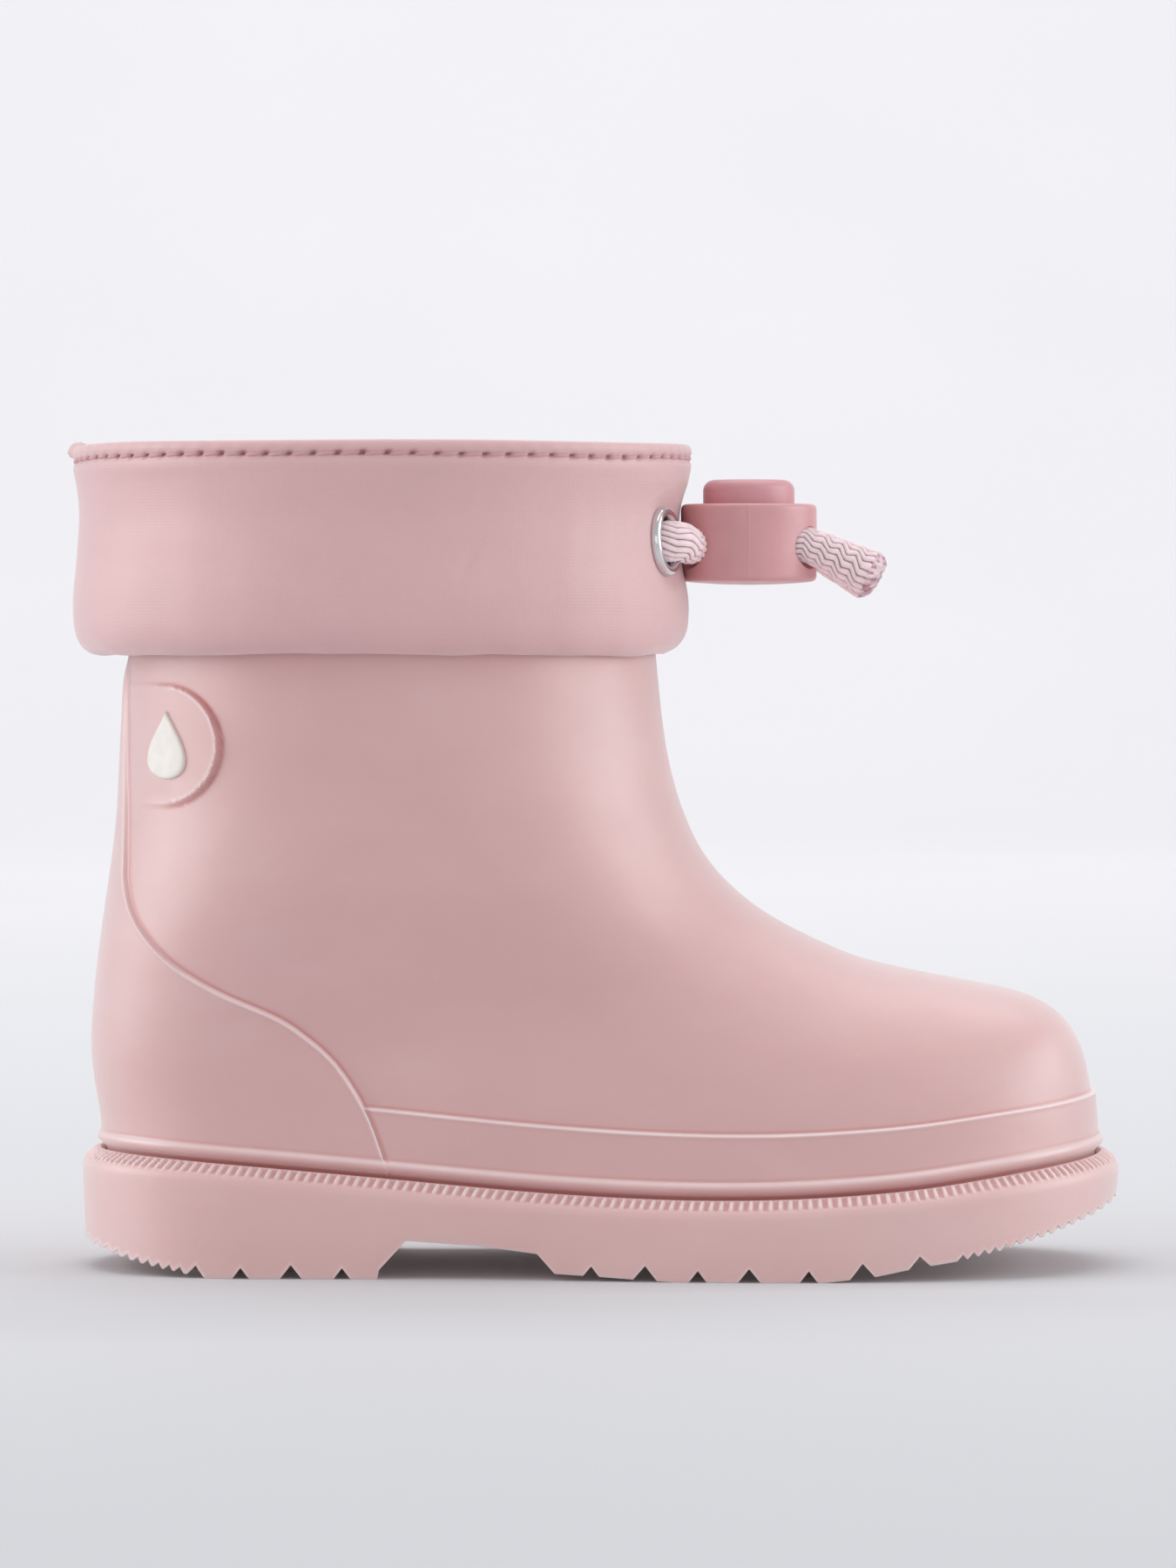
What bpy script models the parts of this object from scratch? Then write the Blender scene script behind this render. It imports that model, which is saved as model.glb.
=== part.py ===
"""Child's moulded rain boot (right foot) with a soft drawstring cuff and a spring cord lock.

Frame: metres, +Z up, +X towards the toe, -Y is the outer (lateral) side, origin on the floor under the
middle of the boot's bounding box. Sizes in the tables below are millimetres.
"""

import math

import bmesh
import bpy
import numpy as np
from mathutils import Matrix, Vector

MM = 0.001

# ---------------------------------------------------------------- driving dimensions (mm)
SHIFT_X = 0.3  # places the bounding box's middle on the origin
SHELL_WALL = 2.2  # moulded wall of the boot
GAP = 0.3  # clearance between touching pieces
LINING = 0.8  # textile lining
INSOLE_FOAM = 3.0
INSOLE_COVER = 0.8
SHELL_TOP = 108.0  # rim of the moulded shaft, hidden in the cuff
LINING_TOP = 98.7
WELT_REACH = 3.9  # outsole edge beyond the boot wall
SEAT_DEPTH = 2.4  # how deep the shell sits in the outsole
BAND_HEIGHT = 9.8  # top of the foxing band above the welt groove
BAND_PROUD = 0.65
BEAD_PROUD = 1.1
COUNTER_PROUD = 0.6
BADGE_PROUD = 1.05

CUFF_X, CUFF_A, CUFF_B = -34.6, 50.0, 41.0  # cuff plan ellipse
SHAFT_X, SHAFT_A, SHAFT_B = -33.1, 42.3, 34.0  # shaft plan ellipse at its top
CUFF_TOP = 132.6
CUFF_SHEET = 1.2
CUFF_LINING = 0.8
EYELET_Z = 116.9
EYELET_ANGLE = math.radians(19.5)  # on the cuff ellipse, each side of the front
EYELET_OD, EYELET_ID = 10.5, 7.6

LOCK_X, LOCK_R = 24.7, 11.1
LOCK_LOW, LOCK_HIGH = 110.2, 123.1
LOCK_FLOOR = 1.0
BUTTON_R = 7.4
BUTTON_TOP = 127.0
BUTTON_TRAVEL = 2.4
BORE_R = 7.7
CHANNEL_Y, CHANNEL_R = 4.75, 3.5
CORD_R = 2.8

# side outline of the shaft's back: (height, x)
BACK = [(14.0, -78.9), (19.6, -79.3), (24.0, -79.6), (29.0, -80.4), (35.0, -81.1), (41.0, -80.9), (49.4, -80.1),
        (60.7, -78.5), (72.0, -77.1), (83.3, -76.4), (99.6, -75.5), (112.0, -75.3)]
# front outline from the toe up over the vamp to the shaft's front: (x, height)
FRONT = [(80.7, 12.0), (80.9, 16.5), (80.9, 21.0), (80.6, 26.0), (79.9, 31.0), (78.4, 36.0), (75.4, 40.3),
         (70.2, 43.5), (63.0, 45.4), (55.5, 46.8), (48.6, 48.2), (42.4, 49.8), (36.0, 52.4), (30.4, 55.2),
         (25.9, 58.0), (22.2, 61.1), (19.3, 64.2), (17.0, 67.5), (15.1, 71.3), (13.3, 76.0), (11.9, 81.0),
         (10.8, 87.0), (10.0, 94.0), (9.4, 101.0), (9.0, 112.0)]
# height of the groove between shell and outsole: (x, height)
GROOVE = [(-86.0, 20.0), (-79.0, 19.9), (-66.0, 19.2), (-50.0, 17.9), (-33.0, 16.4), (-12.0, 14.6), (2.0, 13.8),
          (17.0, 13.4), (30.0, 13.6), (41.0, 14.2), (52.0, 15.2), (63.0, 16.7), (74.0, 18.2), (86.0, 19.9)]
# half width of the foot, lateral then medial: (x, width)
WIDE_OUT = [(-82.0, 24.0), (-57.0, 24.5), (-40.0, 25.0), (-20.0, 26.0), (0.0, 28.7), (18.0, 31.0), (34.0, 31.8),
            (50.0, 31.1), (65.0, 29.4), (84.0, 27.5)]
WIDE_IN = [(-82.0, 24.0), (-57.0, 24.2), (-40.0, 23.8), (-20.0, 23.6), (0.0, 25.8), (18.0, 28.8), (36.0, 30.6),
           (50.0, 30.6), (65.0, 29.4), (84.0, 27.5)]
# half depth of the shaft: (height, width)
SHAFT_WIDE = [(10.0, 25.5), (25.0, 26.4), (40.0, 28.3), (55.0, 30.3), (70.0, 32.0), (85.0, 33.3), (100.0, 34.0),
              (115.0, 34.2)]
# forward edge of the raised heel counter: (height, x)
COUNTER = [(15.0, -32.6), (19.0, -34.2), (24.0, -36.4), (29.0, -39.4), (33.0, -42.6), (36.5, -46.5), (39.0, -51.0),
           (41.3, -56.5), (43.8, -61.2), (46.8, -65.6), (50.5, -69.6), (54.0, -72.2), (58.0, -74.0), (63.0, -75.2)]
# underside of the outsole, heel to toe, without notches: (x, height)
TREAD = [(-92.0, 8.0), (-84.0, 5.0), (-80.0, 3.8), (-75.0, 2.4), (-70.0, 1.4), (-65.5, 0.7), (-62.5, 0.0),
         (-34.7, 0.0), (-34.6, 1.3), (-30.2, 6.1), (-18.0, 5.3), (-9.4, 4.2), (-6.6, 1.1), (1.0, 0.7), (6.5, 0.35),
         (12.0, 0.0), (36.0, 0.0), (44.0, 0.9), (50.0, 2.1), (57.5, 3.2), (64.0, 4.5), (72.0, 6.6), (80.0, 9.2),
         (92.0, 13.8)]
# V notches across the tread: (x, half width, depth)
NOTCHES = [(-63.6, 1.2, 1.4), (-56.4, 0.75, 1.3), (-48.4, 1.6, 2.0), (-40.3, 0.75, 1.3),
           (-0.9, 1.1, 1.4), (7.6, 1.8, 2.1), (15.9, 1.2, 1.5), (24.0, 1.7, 2.0), (33.4, 1.2, 1.6),
           (41.9, 1.8, 2.1), (51.0, 1.5, 1.5)]
TEETH_HEEL = (-83.0, -65.5, 1.75, 0.65)  # from x, to x, pitch, depth
TEETH_TOE = (58.6, 84.5, 1.95, 0.75)


# ---------------------------------------------------------------- small maths
def spline(points):
    """A natural cubic spline through (x, y) points, as a function of x."""
    x = np.array([p[0] for p in points], float)
    y = np.array([p[1] for p in points], float)
    n = len(x)
    h = np.diff(x)
    a = np.zeros((n, n))
    r = np.zeros(n)
    a[0, 0] = a[-1, -1] = 1.0
    for i in range(1, n - 1):
        a[i, i - 1], a[i, i], a[i, i + 1] = h[i - 1], 2 * (h[i - 1] + h[i]), h[i]
        r[i] = 6 * ((y[i + 1] - y[i]) / h[i] - (y[i] - y[i - 1]) / h[i - 1])
    m = np.linalg.solve(a, r)

    def value(q):
        q = np.asarray(q, float)
        c = np.clip(q, x[0], x[-1])
        k = np.clip(np.searchsorted(x, c) - 1, 0, n - 2)
        hk = h[k]
        s, t = (x[k + 1] - c) / hk, (c - x[k]) / hk
        return (s * y[k] + t * y[k + 1] + ((s ** 3 - s) * m[k] + (t ** 3 - t) * m[k + 1]) * hk ** 2 / 6)

    return value


def step(a, b, x):
    t = np.clip((np.asarray(x, float) - a) / (b - a), 0, 1)
    return t * t * (3 - 2 * t)


back_x = spline(BACK)
groove_z = spline(GROOVE)
wide_out = spline(WIDE_OUT)
wide_in = spline(WIDE_IN)
shaft_wide = spline(SHAFT_WIDE)
counter_x = spline(COUNTER)

# the front outline as a smooth curve, by its own length
_f = np.array(FRONT, float)
_fs = np.concatenate([[0], np.cumsum(np.linalg.norm(np.diff(_f, axis=0), axis=1))])
_fx, _fz = spline(list(zip(_fs, _f[:, 0]))), spline(list(zip(_fs, _f[:, 1])))
_t = np.linspace(0, _fs[-1], 700)
FRONT_LINE = np.stack([_fx(_t), _fz(_t)], axis=1)


def front_x(z):
    return np.interp(z, FRONT_LINE[:, 1], FRONT_LINE[:, 0])


# The distance that rounds the boot's front: smooth everywhere, so that the toe has no crease.
_ends = [(FRONT_LINE[0] + np.array([0.0, -1.0]) * k) for k in np.arange(60.0, 0.0, -0.5)]
_tops = [(FRONT_LINE[-1] + np.array([0.0, 1.0]) * k) for k in np.arange(0.5, 60.0, 0.5)]
_line = np.concatenate([_ends, FRONT_LINE, _tops])
_mid = (_line[1:] + _line[:-1]) / 2
_len = np.linalg.norm(np.diff(_line, axis=0), axis=1)


def front_distance(x, z):
    x, z = np.atleast_1d(np.asarray(x, float)), np.atleast_1d(np.asarray(z, float))
    r2 = (x[:, None] - _mid[None, :, 0]) ** 2 + (z[:, None] - _mid[None, :, 1]) ** 2
    r2 = np.maximum(r2, 0.04)
    return np.maximum((2 / math.pi * (_len[None, :] / r2 ** 2).sum(1)), 1e-12) ** (-1 / 3)


def rounded(q, power):
    q = np.clip(q, 0, 1)
    return np.maximum(1 - (1 - q) ** power, 0) ** (1 / power)


def half_width(x, z, side):
    """The boot wall's distance from its middle plane at a point of the side view, in mm. side is -1 outer, +1 inner."""
    x, z = np.atleast_1d(np.asarray(x, float)), np.atleast_1d(np.asarray(z, float))
    k = step(24.0, 64.0, z)
    foot = wide_out(x) if side < 0 else wide_in(x)
    wide = foot * (1 - k) + shaft_wide(z) * k
    kr = step(30.0, 88.0, z)
    heel_r = 25.0 + (42.3 - 25.0) * kr
    toe_r = 31.0 + (42.3 - 31.0) * step(46.0, 88.0, z)
    power = 2.28 - 0.28 * step(40.0, 85.0, z)
    rear = rounded((x - back_x(z)) / heel_r, power)
    front = rounded(front_distance(x, z) / toe_r, power)
    return wide * rear * front


def middle_y(x, z):
    """The middle line's swing towards the inner side, for a right foot."""
    return 2.6 * np.clip((np.asarray(x, float) + 5) / 88, 0, 1) ** 2 * (1 - step(45.0, 75.0, z))


def row_z(front_z, x):
    """The height of a row of points whose front end is at front_z. Low rows follow the groove, high rows are level."""
    sag = 19.6 - groove_z(x)
    sag_front = 19.6 - groove_z(front_x(front_z))
    fade = 1 - step(30.0, 54.0, front_z)
    return front_z - (sag - sag_front) * fade


def row(front_z, count):
    """count points round the boot wall, from the toe along the outer side to the heel and back along the inner side."""
    xf = float(front_x(front_z))
    xr = float(back_x(row_z(front_z, -79.0)))
    c = (1 - np.cos(np.linspace(0, math.pi, 400))) / 2
    x = xf + (xr - xf) * c
    z = row_z(front_z, x)
    out = []
    for side in (-1, 1):
        y = middle_y(x, z) + side * half_width(x, z, side)
        y[0] = middle_y(x[0], z[0])
        y[-1] = middle_y(x[-1], z[-1])
        p = np.stack([x, y, z], axis=1)
        s = np.concatenate([[0], np.cumsum(np.linalg.norm(np.diff(p, axis=0), axis=1))])
        at = np.linspace(0, s[-1], count // 2 + 1)
        out.append(np.stack([np.interp(at, s, p[:, k]) for k in range(3)], axis=1))
    return np.concatenate([out[0], out[1][-2:0:-1]])


def grid_normals(grid):
    """Outward normals of a grid of rows (upwards) and columns (closed, toe, outer side, heel, inner side)."""
    up = np.gradient(grid, axis=0)
    round_ = np.roll(grid, -1, axis=1) - np.roll(grid, 1, axis=1)
    n = np.cross(up, round_)
    n /= np.maximum(np.linalg.norm(n, axis=2, keepdims=True), 1e-9)
    return n


def relief(p):
    """How far the moulded bands stand proud of the plain wall at a point of it, in mm."""
    x, y, z = p
    g = float(groove_z(x))
    if z < g - 0.2:
        return 0.0
    edge = float(counter_x(min(max(z, 15.0), 63.0)))
    if z > 63:
        edge = -75.2
    h = COUNTER_PROUD if x < edge else 0.0
    if x > edge and z < g + BAND_HEIGHT - 0.1:
        h = BAND_PROUD
    if g + 0.4 < z < g + 1.6:
        h = BEAD_PROUD
    if g - 0.1 < z < g + 0.4:
        h = 0.3
    if y < 0 and (x + 67.5) ** 2 / 8.6 ** 2 + (z - 85.0) ** 2 / 9.4 ** 2 < 1 and h < BADGE_PROUD:
        h = BADGE_PROUD
    return h


# ---------------------------------------------------------------- scene helpers
for old in list(bpy.data.objects):
    bpy.data.objects.remove(old)

PARTS = bpy.data.collections.new("rain_boot")
CUTTERS = bpy.data.collections.new("cutters")
bpy.context.scene.collection.children.link(PARTS)
bpy.context.scene.collection.children.link(CUTTERS)


def material(name, color, roughness, metallic=0.0):
    m = bpy.data.materials.new(name)
    m.use_nodes = True
    b = m.node_tree.nodes["Principled BSDF"]
    b.inputs["Base Color"].default_value = (*color, 1)
    b.inputs["Roughness"].default_value = roughness
    b.inputs["Metallic"].default_value = metallic
    return m


M_SHELL = material("moulded_shell", (0.66, 0.42, 0.42), 0.5)
M_SOLE = material("moulded_sole", (0.66, 0.42, 0.42), 0.55)
M_CUFF = material("coated_cuff", (0.68, 0.44, 0.44), 0.45)
M_LINING = material("knit_lining", (0.78, 0.66, 0.64), 0.9)
M_FOAM = material("insole_foam", (0.75, 0.72, 0.70), 0.8)
M_THREAD = material("thread", (0.62, 0.30, 0.34), 0.7)
M_CORD = material("braided_cord", (0.74, 0.52, 0.54), 0.85)
M_LOCK = material("lock_plastic", (0.55, 0.27, 0.29), 0.4)
M_METAL = material("plated_metal", (0.80, 0.80, 0.80), 0.2, 1.0)


def add(name, mesh, mat, collection=None, smooth=True):
    o = bpy.data.objects.new(name, mesh)
    (collection or PARTS).objects.link(o)
    if mat:
        mesh.materials.append(mat)
    if smooth and isinstance(mesh, bpy.types.Mesh):
        mesh.shade_smooth()
        mesh.set_sharp_from_angle(angle=math.radians(35))
    return o


def cutter(name, mesh):
    o = add(name, mesh, None, CUTTERS, smooth=False)
    o.hide_render = True
    o.display_type = "WIRE"
    return o


def boolean(obj, other, operation):
    m = obj.modifiers.new(operation.lower() + "_" + other.name, "BOOLEAN")
    m.operation, m.object, m.solver = operation, other, "EXACT"


def to_m(p):
    return ((p[0] + SHIFT_X) * MM, p[1] * MM, p[2] * MM)


def mesh_from(name, points, faces):
    me = bpy.data.meshes.new(name)
    me.from_pydata([to_m(p) for p in points], [], faces)
    bm = bmesh.new()
    bm.from_mesh(me)
    bmesh.ops.remove_doubles(bm, verts=bm.verts, dist=1e-6)
    bmesh.ops.recalc_face_normals(bm, faces=bm.faces)
    bm.to_mesh(me)
    bm.free()
    return me


def ladder(ring):
    """Faces that close a ring whose two sides run from its first point to its middle one."""
    n = len(ring)
    faces = []
    for j in range(n // 2):
        a, b = ring[j], ring[j + 1]
        c, d = ring[(n - j - 1) % n], ring[(n - j) % n]
        faces.append([v for k, v in enumerate((a, b, c, d)) if v not in (a, b, c, d)[:k]])
    return [f for f in faces if len(f) > 2]


def loft(name, rings, mat, close="ends"):
    """Skins rings of equal count. close is ends (ladder caps) or loop (last ring joins the first)."""
    n = len(rings[0])
    pts = [p for r in rings for p in r]
    faces = []
    pairs = list(range(len(rings) - 1)) + ([len(rings) - 1] if close == "loop" else [])
    for i in pairs:
        k = (i + 1) % len(rings)
        for j in range(n):
            j2 = (j + 1) % n
            faces.append([i * n + j, i * n + j2, k * n + j2, k * n + j])
    if close == "ends":
        faces += ladder(list(range(n)))
        faces += ladder([(len(rings) - 1) * n + j for j in range(n)])
    return add(name, mesh_from(name, pts, faces), mat)


# ---------------------------------------------------------------- boot shell and its lining
LEVELS = [16.9, 19.45, 20.3, 21.3, 28.7, 29.5, 34.0, 38.0, 41.0, 43.1, 44.6, 46.0, 48.0, 51.0, 55.0, 59.6, 65.0,
          72.0, 80.5, 90.0, 100.0, SHELL_TOP]
ROUND = 40

wall = np.array([row(z, ROUND) for z in LEVELS])
normals = grid_normals(wall)
# the wall's foot is upright
normals[0] = normals[1]


def layer(offset, top, with_relief=False, keep=1):
    """Rings of the wall set off by offset (inwards is negative), up to the height top. keep thins rows and columns."""
    rows = [i for i in range(len(LEVELS)) if keep == 1 or i in (0, 2) or (i > 4 and i % keep == 1)]
    rings = []
    for i in rows:
        ring = []
        for j in range(ROUND):
            p = wall[i][j]
            h = offset + (relief(p) if with_relief else 0.0)
            q = p + normals[i][j] * h
            if i == 0:
                q = np.array([q[0], q[1], float(groove_z(p[0])) - SEAT_DEPTH - offset])
            if LEVELS[i] >= top or i == rows[-1]:
                q[2] = top
            ring.append(q)
        rings.append(ring)
        if LEVELS[i] >= top:
            break
    return rings


def vessel(name, outer, inner, mat):
    """A closed solid between two open vessels of equal count round: outer wall, rim, inner wall and both floors."""
    n = len(outer[0])
    rings = outer + inner[::-1]
    return loft(name, rings, mat, close="ends")


vessel("boot_shell", layer(0.0, SHELL_TOP, True), layer(-SHELL_WALL, SHELL_TOP), M_SHELL)
d = SHELL_WALL + GAP + 0.95
vessel("lining_sock", layer(-d, LINING_TOP, keep=2), layer(-d - LINING, LINING_TOP, keep=2), M_LINING)


# ---------------------------------------------------------------- outsole
def plan_normals(ring):
    r = np.array(ring)[:, :2]
    t = np.roll(r, -1, axis=0) - np.roll(r, 1, axis=0)
    n = np.stack([-t[:, 1], t[:, 0]], axis=1)
    n /= np.linalg.norm(n, axis=1, keepdims=True)
    if ((r - r.mean(0)) * n).sum() < 0:
        n = -n
    return n


SOLE_ROUND = 72
foot = row(19.45, SOLE_ROUND)
foot_n = plan_normals(foot)


def sole_ring(offset, dz=None, z=None):
    """The foot outline set out by offset, at dz above the groove or at a level z."""
    ring = []
    for p, n in zip(foot, foot_n):
        x, y = p[0] + n[0] * offset, p[1] + n[1] * offset
        ring.append((x, y, z if z is not None else float(groove_z(p[0])) + dz))
    return ring


def insole_ring(offset, dz):
    return sole_ring(-offset, dz)


welt_rings = [
    sole_ring(WELT_REACH - 0.7, z=-3.0),
    sole_ring(WELT_REACH - 0.15, z=6.0),
    sole_ring(WELT_REACH, dz=-3.2),
    sole_ring(WELT_REACH - 0.1, dz=-2.1),
    sole_ring(WELT_REACH - 0.5, dz=-1.5),
    sole_ring(1.5, dz=-0.2),
    sole_ring(1.0, dz=-0.25),
    sole_ring(0.55, dz=-0.9),
    sole_ring(GAP, dz=-1.2),
    sole_ring(GAP, dz=-SEAT_DEPTH - GAP),
]
sole = loft("outsole", welt_rings, M_SOLE)


def tread_profile():
    """The underside's outline with its notches and teeth, as (x, height) from heel to toe."""
    line = np.array(TREAD, float)

    def base(x):
        return float(np.interp(x, line[:, 0], line[:, 1]))

    marks = {round(float(x), 3): float(z) for x, z in line}
    taken = [(x - w, x + w) for x, w, _ in NOTCHES]
    for x, w, depth in NOTCHES:
        marks[round(x - w, 3)] = base(x - w)
        marks[round(x, 3)] = base(x) + depth
        marks[round(x + w, 3)] = base(x + w)
    for x0, x1, pitch, depth in (TEETH_HEEL, TEETH_TOE):
        taken.append((x0 - 0.01, x1 + 0.01))
        count = int((x1 - x0) / pitch)
        for k in range(count + 1):
            x = x0 + k * pitch
            marks[round(x, 3)] = base(x)
            if k < count:
                marks[round(x + pitch * 0.62, 3)] = base(x + pitch * 0.62) + depth
    inside = {round(x, 3) for x, _, _ in NOTCHES} | {
        k for k in marks if any(a <= k <= b for a, b in taken[len(NOTCHES):])}
    ordered = []
    for x in sorted(marks):
        covered = any(a < x < b for a, b in taken[:len(NOTCHES)]) and x not in inside
        if not covered:
            ordered.append((x, marks[x]))
    return ordered


profile = tread_profile()
curve = bpy.data.curves.new("tread_outline", "CURVE")
curve.dimensions = "2D"
curve.fill_mode = "BOTH"
curve.extrude = 0.05
outline = [(-92.0, 45.0)] + profile + [(92.0, 45.0)]
sp = curve.splines.new("POLY")
sp.points.add(len(outline) - 1)
for k, (x, z) in enumerate(outline):
    sp.points[k].co = ((x + SHIFT_X) * MM, z * MM, 0, 1)
sp.use_cyclic_u = True
side = bpy.data.objects.new("tread_outline", curve)
side.rotation_euler = (math.pi / 2, 0, 0)
CUTTERS.objects.link(side)
bpy.context.view_layer.update()
tread_mesh = bpy.data.meshes.new_from_object(side.evaluated_get(bpy.context.evaluated_depsgraph_get()))
tread_mesh.transform(side.matrix_world)
bm = bmesh.new()
bm.from_mesh(tread_mesh)
bmesh.ops.remove_doubles(bm, verts=bm.verts, dist=1e-6)
bmesh.ops.recalc_face_normals(bm, faces=bm.faces)
bm.to_mesh(tread_mesh)
bm.free()
bpy.data.objects.remove(side)
tread = cutter("tread_block", tread_mesh)
boolean(sole, tread, "INTERSECT")

# ---------------------------------------------------------------- raindrop emblem on the rear badge
EMBLEM_X, EMBLEM_Z, EMBLEM_R, EMBLEM_H = -68.0, 84.4, 4.6, 5.4
drop = []
for k in range(28):
    a = 2 * math.pi * k / 28
    drop.append((EMBLEM_X - EMBLEM_R * math.sin(a) * math.sin(a / 2) ** 1.5, EMBLEM_Z + EMBLEM_H * math.cos(a)))
drop.append((EMBLEM_X, EMBLEM_Z - 0.2 * EMBLEM_H))
pts, faces = [], []
for depth in (BADGE_PROUD + GAP + 0.6, BADGE_PROUD + GAP):
    for x, z in drop:
        w, wx, wz = (float(v) for v in half_width([x, x + 0.2, x], [z, z, z + 0.2], -1))
        q = Vector((x, -w, z)) + Vector(((w - wx) / 0.2, -1.0, (w - wz) / 0.2)).normalized() * depth
        pts.append(tuple(q))
n = len(drop) - 1
for j in range(n):
    j2 = (j + 1) % n
    faces += [(n, j, j2), (2 * n + 1, n + 1 + j2, n + 1 + j), (j, n + 1 + j, n + 1 + j2, j2)]
add("badge_emblem", mesh_from("badge_emblem", pts, faces), M_LINING)

# ---------------------------------------------------------------- footbed
inset = SHELL_WALL + GAP + LINING + 2.3
base_dz = -SEAT_DEPTH + SHELL_WALL + GAP + 0.95 + LINING + GAP


def pad(name, low, high, mat):
    rings = [insole_ring(inset, low), insole_ring(inset, high)]
    return loft(name, rings, mat)


pad("insole_foam", base_dz, base_dz + INSOLE_FOAM, M_FOAM)
pad("insole_cover", base_dz + INSOLE_FOAM + GAP, base_dz + INSOLE_FOAM + GAP + INSOLE_COVER, M_LINING)


# ---------------------------------------------------------------- cuff
def cuff_point(t, blend, offset, z, shaft_offset=0.0):
    """A point between the cuff's ellipse (blend 0) and the shaft's (blend 1), at the angle t from the front."""
    cx = CUFF_X + (CUFF_A + offset) * math.cos(t)
    cy = (CUFF_B + offset) * math.sin(t)
    sx = SHAFT_X + (SHAFT_A + shaft_offset) * math.cos(t)
    sy = (SHAFT_B + shaft_offset) * math.sin(t)
    return (cx + (sx - cx) * blend, cy + (sy - cy) * blend, z)


def waist(t, z):
    """How far the drawcord pulls the cuff in, most at the front between the eyelets."""
    a = math.atan2(math.sin(t), math.cos(t))
    return -2.5 * math.exp(-((a / 0.7) ** 2)) * math.exp(-(((z - 117.0) / 9.0) ** 4))


# the sheet's outer face, top edge to the seam on the shaft: (blend, offset, height, offset from the shaft)
CUFF_PATH = [(0.0, -0.2, CUFF_TOP, 0), (0.0, -0.1, 129.6, 0), (0.0, -0.6, 125.0, 0), (0.0, -0.95, 120.0, 0),
             (0.0, -0.7, 115.5, 0), (0.0, -0.05, 110.0, 0), (0.0, 0.1, 105.5, 0), (0.0, -0.3, 102.0, 0),
             (0.0, -1.5, 99.9, 0), (0.35, -1.5, 98.9, 1.0), (0.8, -1.5, 99.1, 1.0), (1.0, -1.5, 100.6, 1.0),
             (1.0, -1.5, 106.0, 1.0)]
LINING_PATH = [(1.0, 0, 99.5, -3.6), (1.0, 0, 108.0, -3.6), (1.0, 0, 115.0, -3.6), (1.0, 0, 120.3, -3.6),
               (0.72, -1.9, 124.4, -3.3), (0.3, -1.8, 128.0, -2.6), (0.0, -1.75, 130.4, 0),
               (0.0, -1.8, 132.2, 0)]


def sheet(name, path, thick, inward, mat, count=44):
    """A closed ring of sheet: its face follows path, and its back is thick away. inward is -1 for a back inside."""
    pts = np.array([(b, o, z, s) for b, o, z, s in path], float)
    cols = []
    for j in range(count):
        t = 2 * math.pi * j / count
        face = np.array([cuff_point(t, b, o + waist(t, z) * (1 - b), z, s) for b, o, z, s in pts])
        centre = np.array([CUFF_X, 0.0])
        radial = face[:, :2] - centre
        rad = np.linalg.norm(radial, axis=1)
        tangent = np.gradient(np.stack([rad, face[:, 2]], axis=1), axis=0)
        tangent /= np.linalg.norm(tangent, axis=1, keepdims=True)
        nr, nz = tangent[:, 1], -tangent[:, 0]
        flip = inward * np.sign(tangent[0, 1] or 1.0)
        nr, nz = nr * flip, nz * flip
        unit = radial / rad[:, None]
        backs = face + np.concatenate([unit * nr[:, None], nz[:, None]], axis=1) * thick
        cols.append(np.concatenate([face, backs[::-1]]))
    rings = [[cols[j][k] for j in range(count)] for k in range(len(cols[0]))]
    return loft(name, rings, mat, close="loop")


cuff = sheet("cuff_outer", CUFF_PATH, CUFF_SHEET, -1, M_CUFF)
lining = sheet("cuff_lining", LINING_PATH, CUFF_LINING, -1, M_LINING)


def eyelet_frame(side):
    """Centre of the eyelet on the cuff's outer face, and its outward direction."""
    heights = [r[2] for r in CUFF_PATH[:8]][::-1]
    offsets = [r[1] for r in CUFF_PATH[:8]][::-1]

    def face(t, z):
        return Vector(cuff_point(t, 0.0, float(np.interp(z, heights, offsets)) + waist(t, z), z))

    t = side * EYELET_ANGLE
    along = face(t + 0.1, EYELET_Z) - face(t - 0.1, EYELET_Z)
    up = face(t, EYELET_Z + 3) - face(t, EYELET_Z - 3)
    return face(t, EYELET_Z), along.cross(up).normalized()


def turned(name, profile, steps, mat, place, collection=None):
    """A closed (radius, height) profile turned about Z, then put in place. It runs down its outer side."""
    me = bpy.data.meshes.new(name)
    n = len(profile)
    closed_ring = min(r for r, _ in profile) > 1e-6
    edges = [(k, k + 1) for k in range(n - 1)] + ([(n - 1, 0)] if closed_ring else [])
    me.from_pydata([(r * MM, 0, z * MM) for r, z in profile], edges, [])
    o = bpy.data.objects.new(name, me)
    (collection or PARTS).objects.link(o)
    if mat:
        me.materials.append(mat)
    m = o.modifiers.new("turn", "SCREW")
    m.axis, m.angle, m.steps, m.render_steps = "Z", 2 * math.pi, steps, steps
    m.use_merge_vertices, m.merge_threshold = True, 0.00001
    m.use_smooth_shade = True
    o.matrix_world = place
    return o


def facing(point, normal):
    """A matrix that puts local +Z along normal at point (mm)."""
    q = Vector(normal).to_track_quat("Z", "Y")
    return Matrix.Translation(Vector(to_m(point))) @ q.to_matrix().to_4x4()


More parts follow.
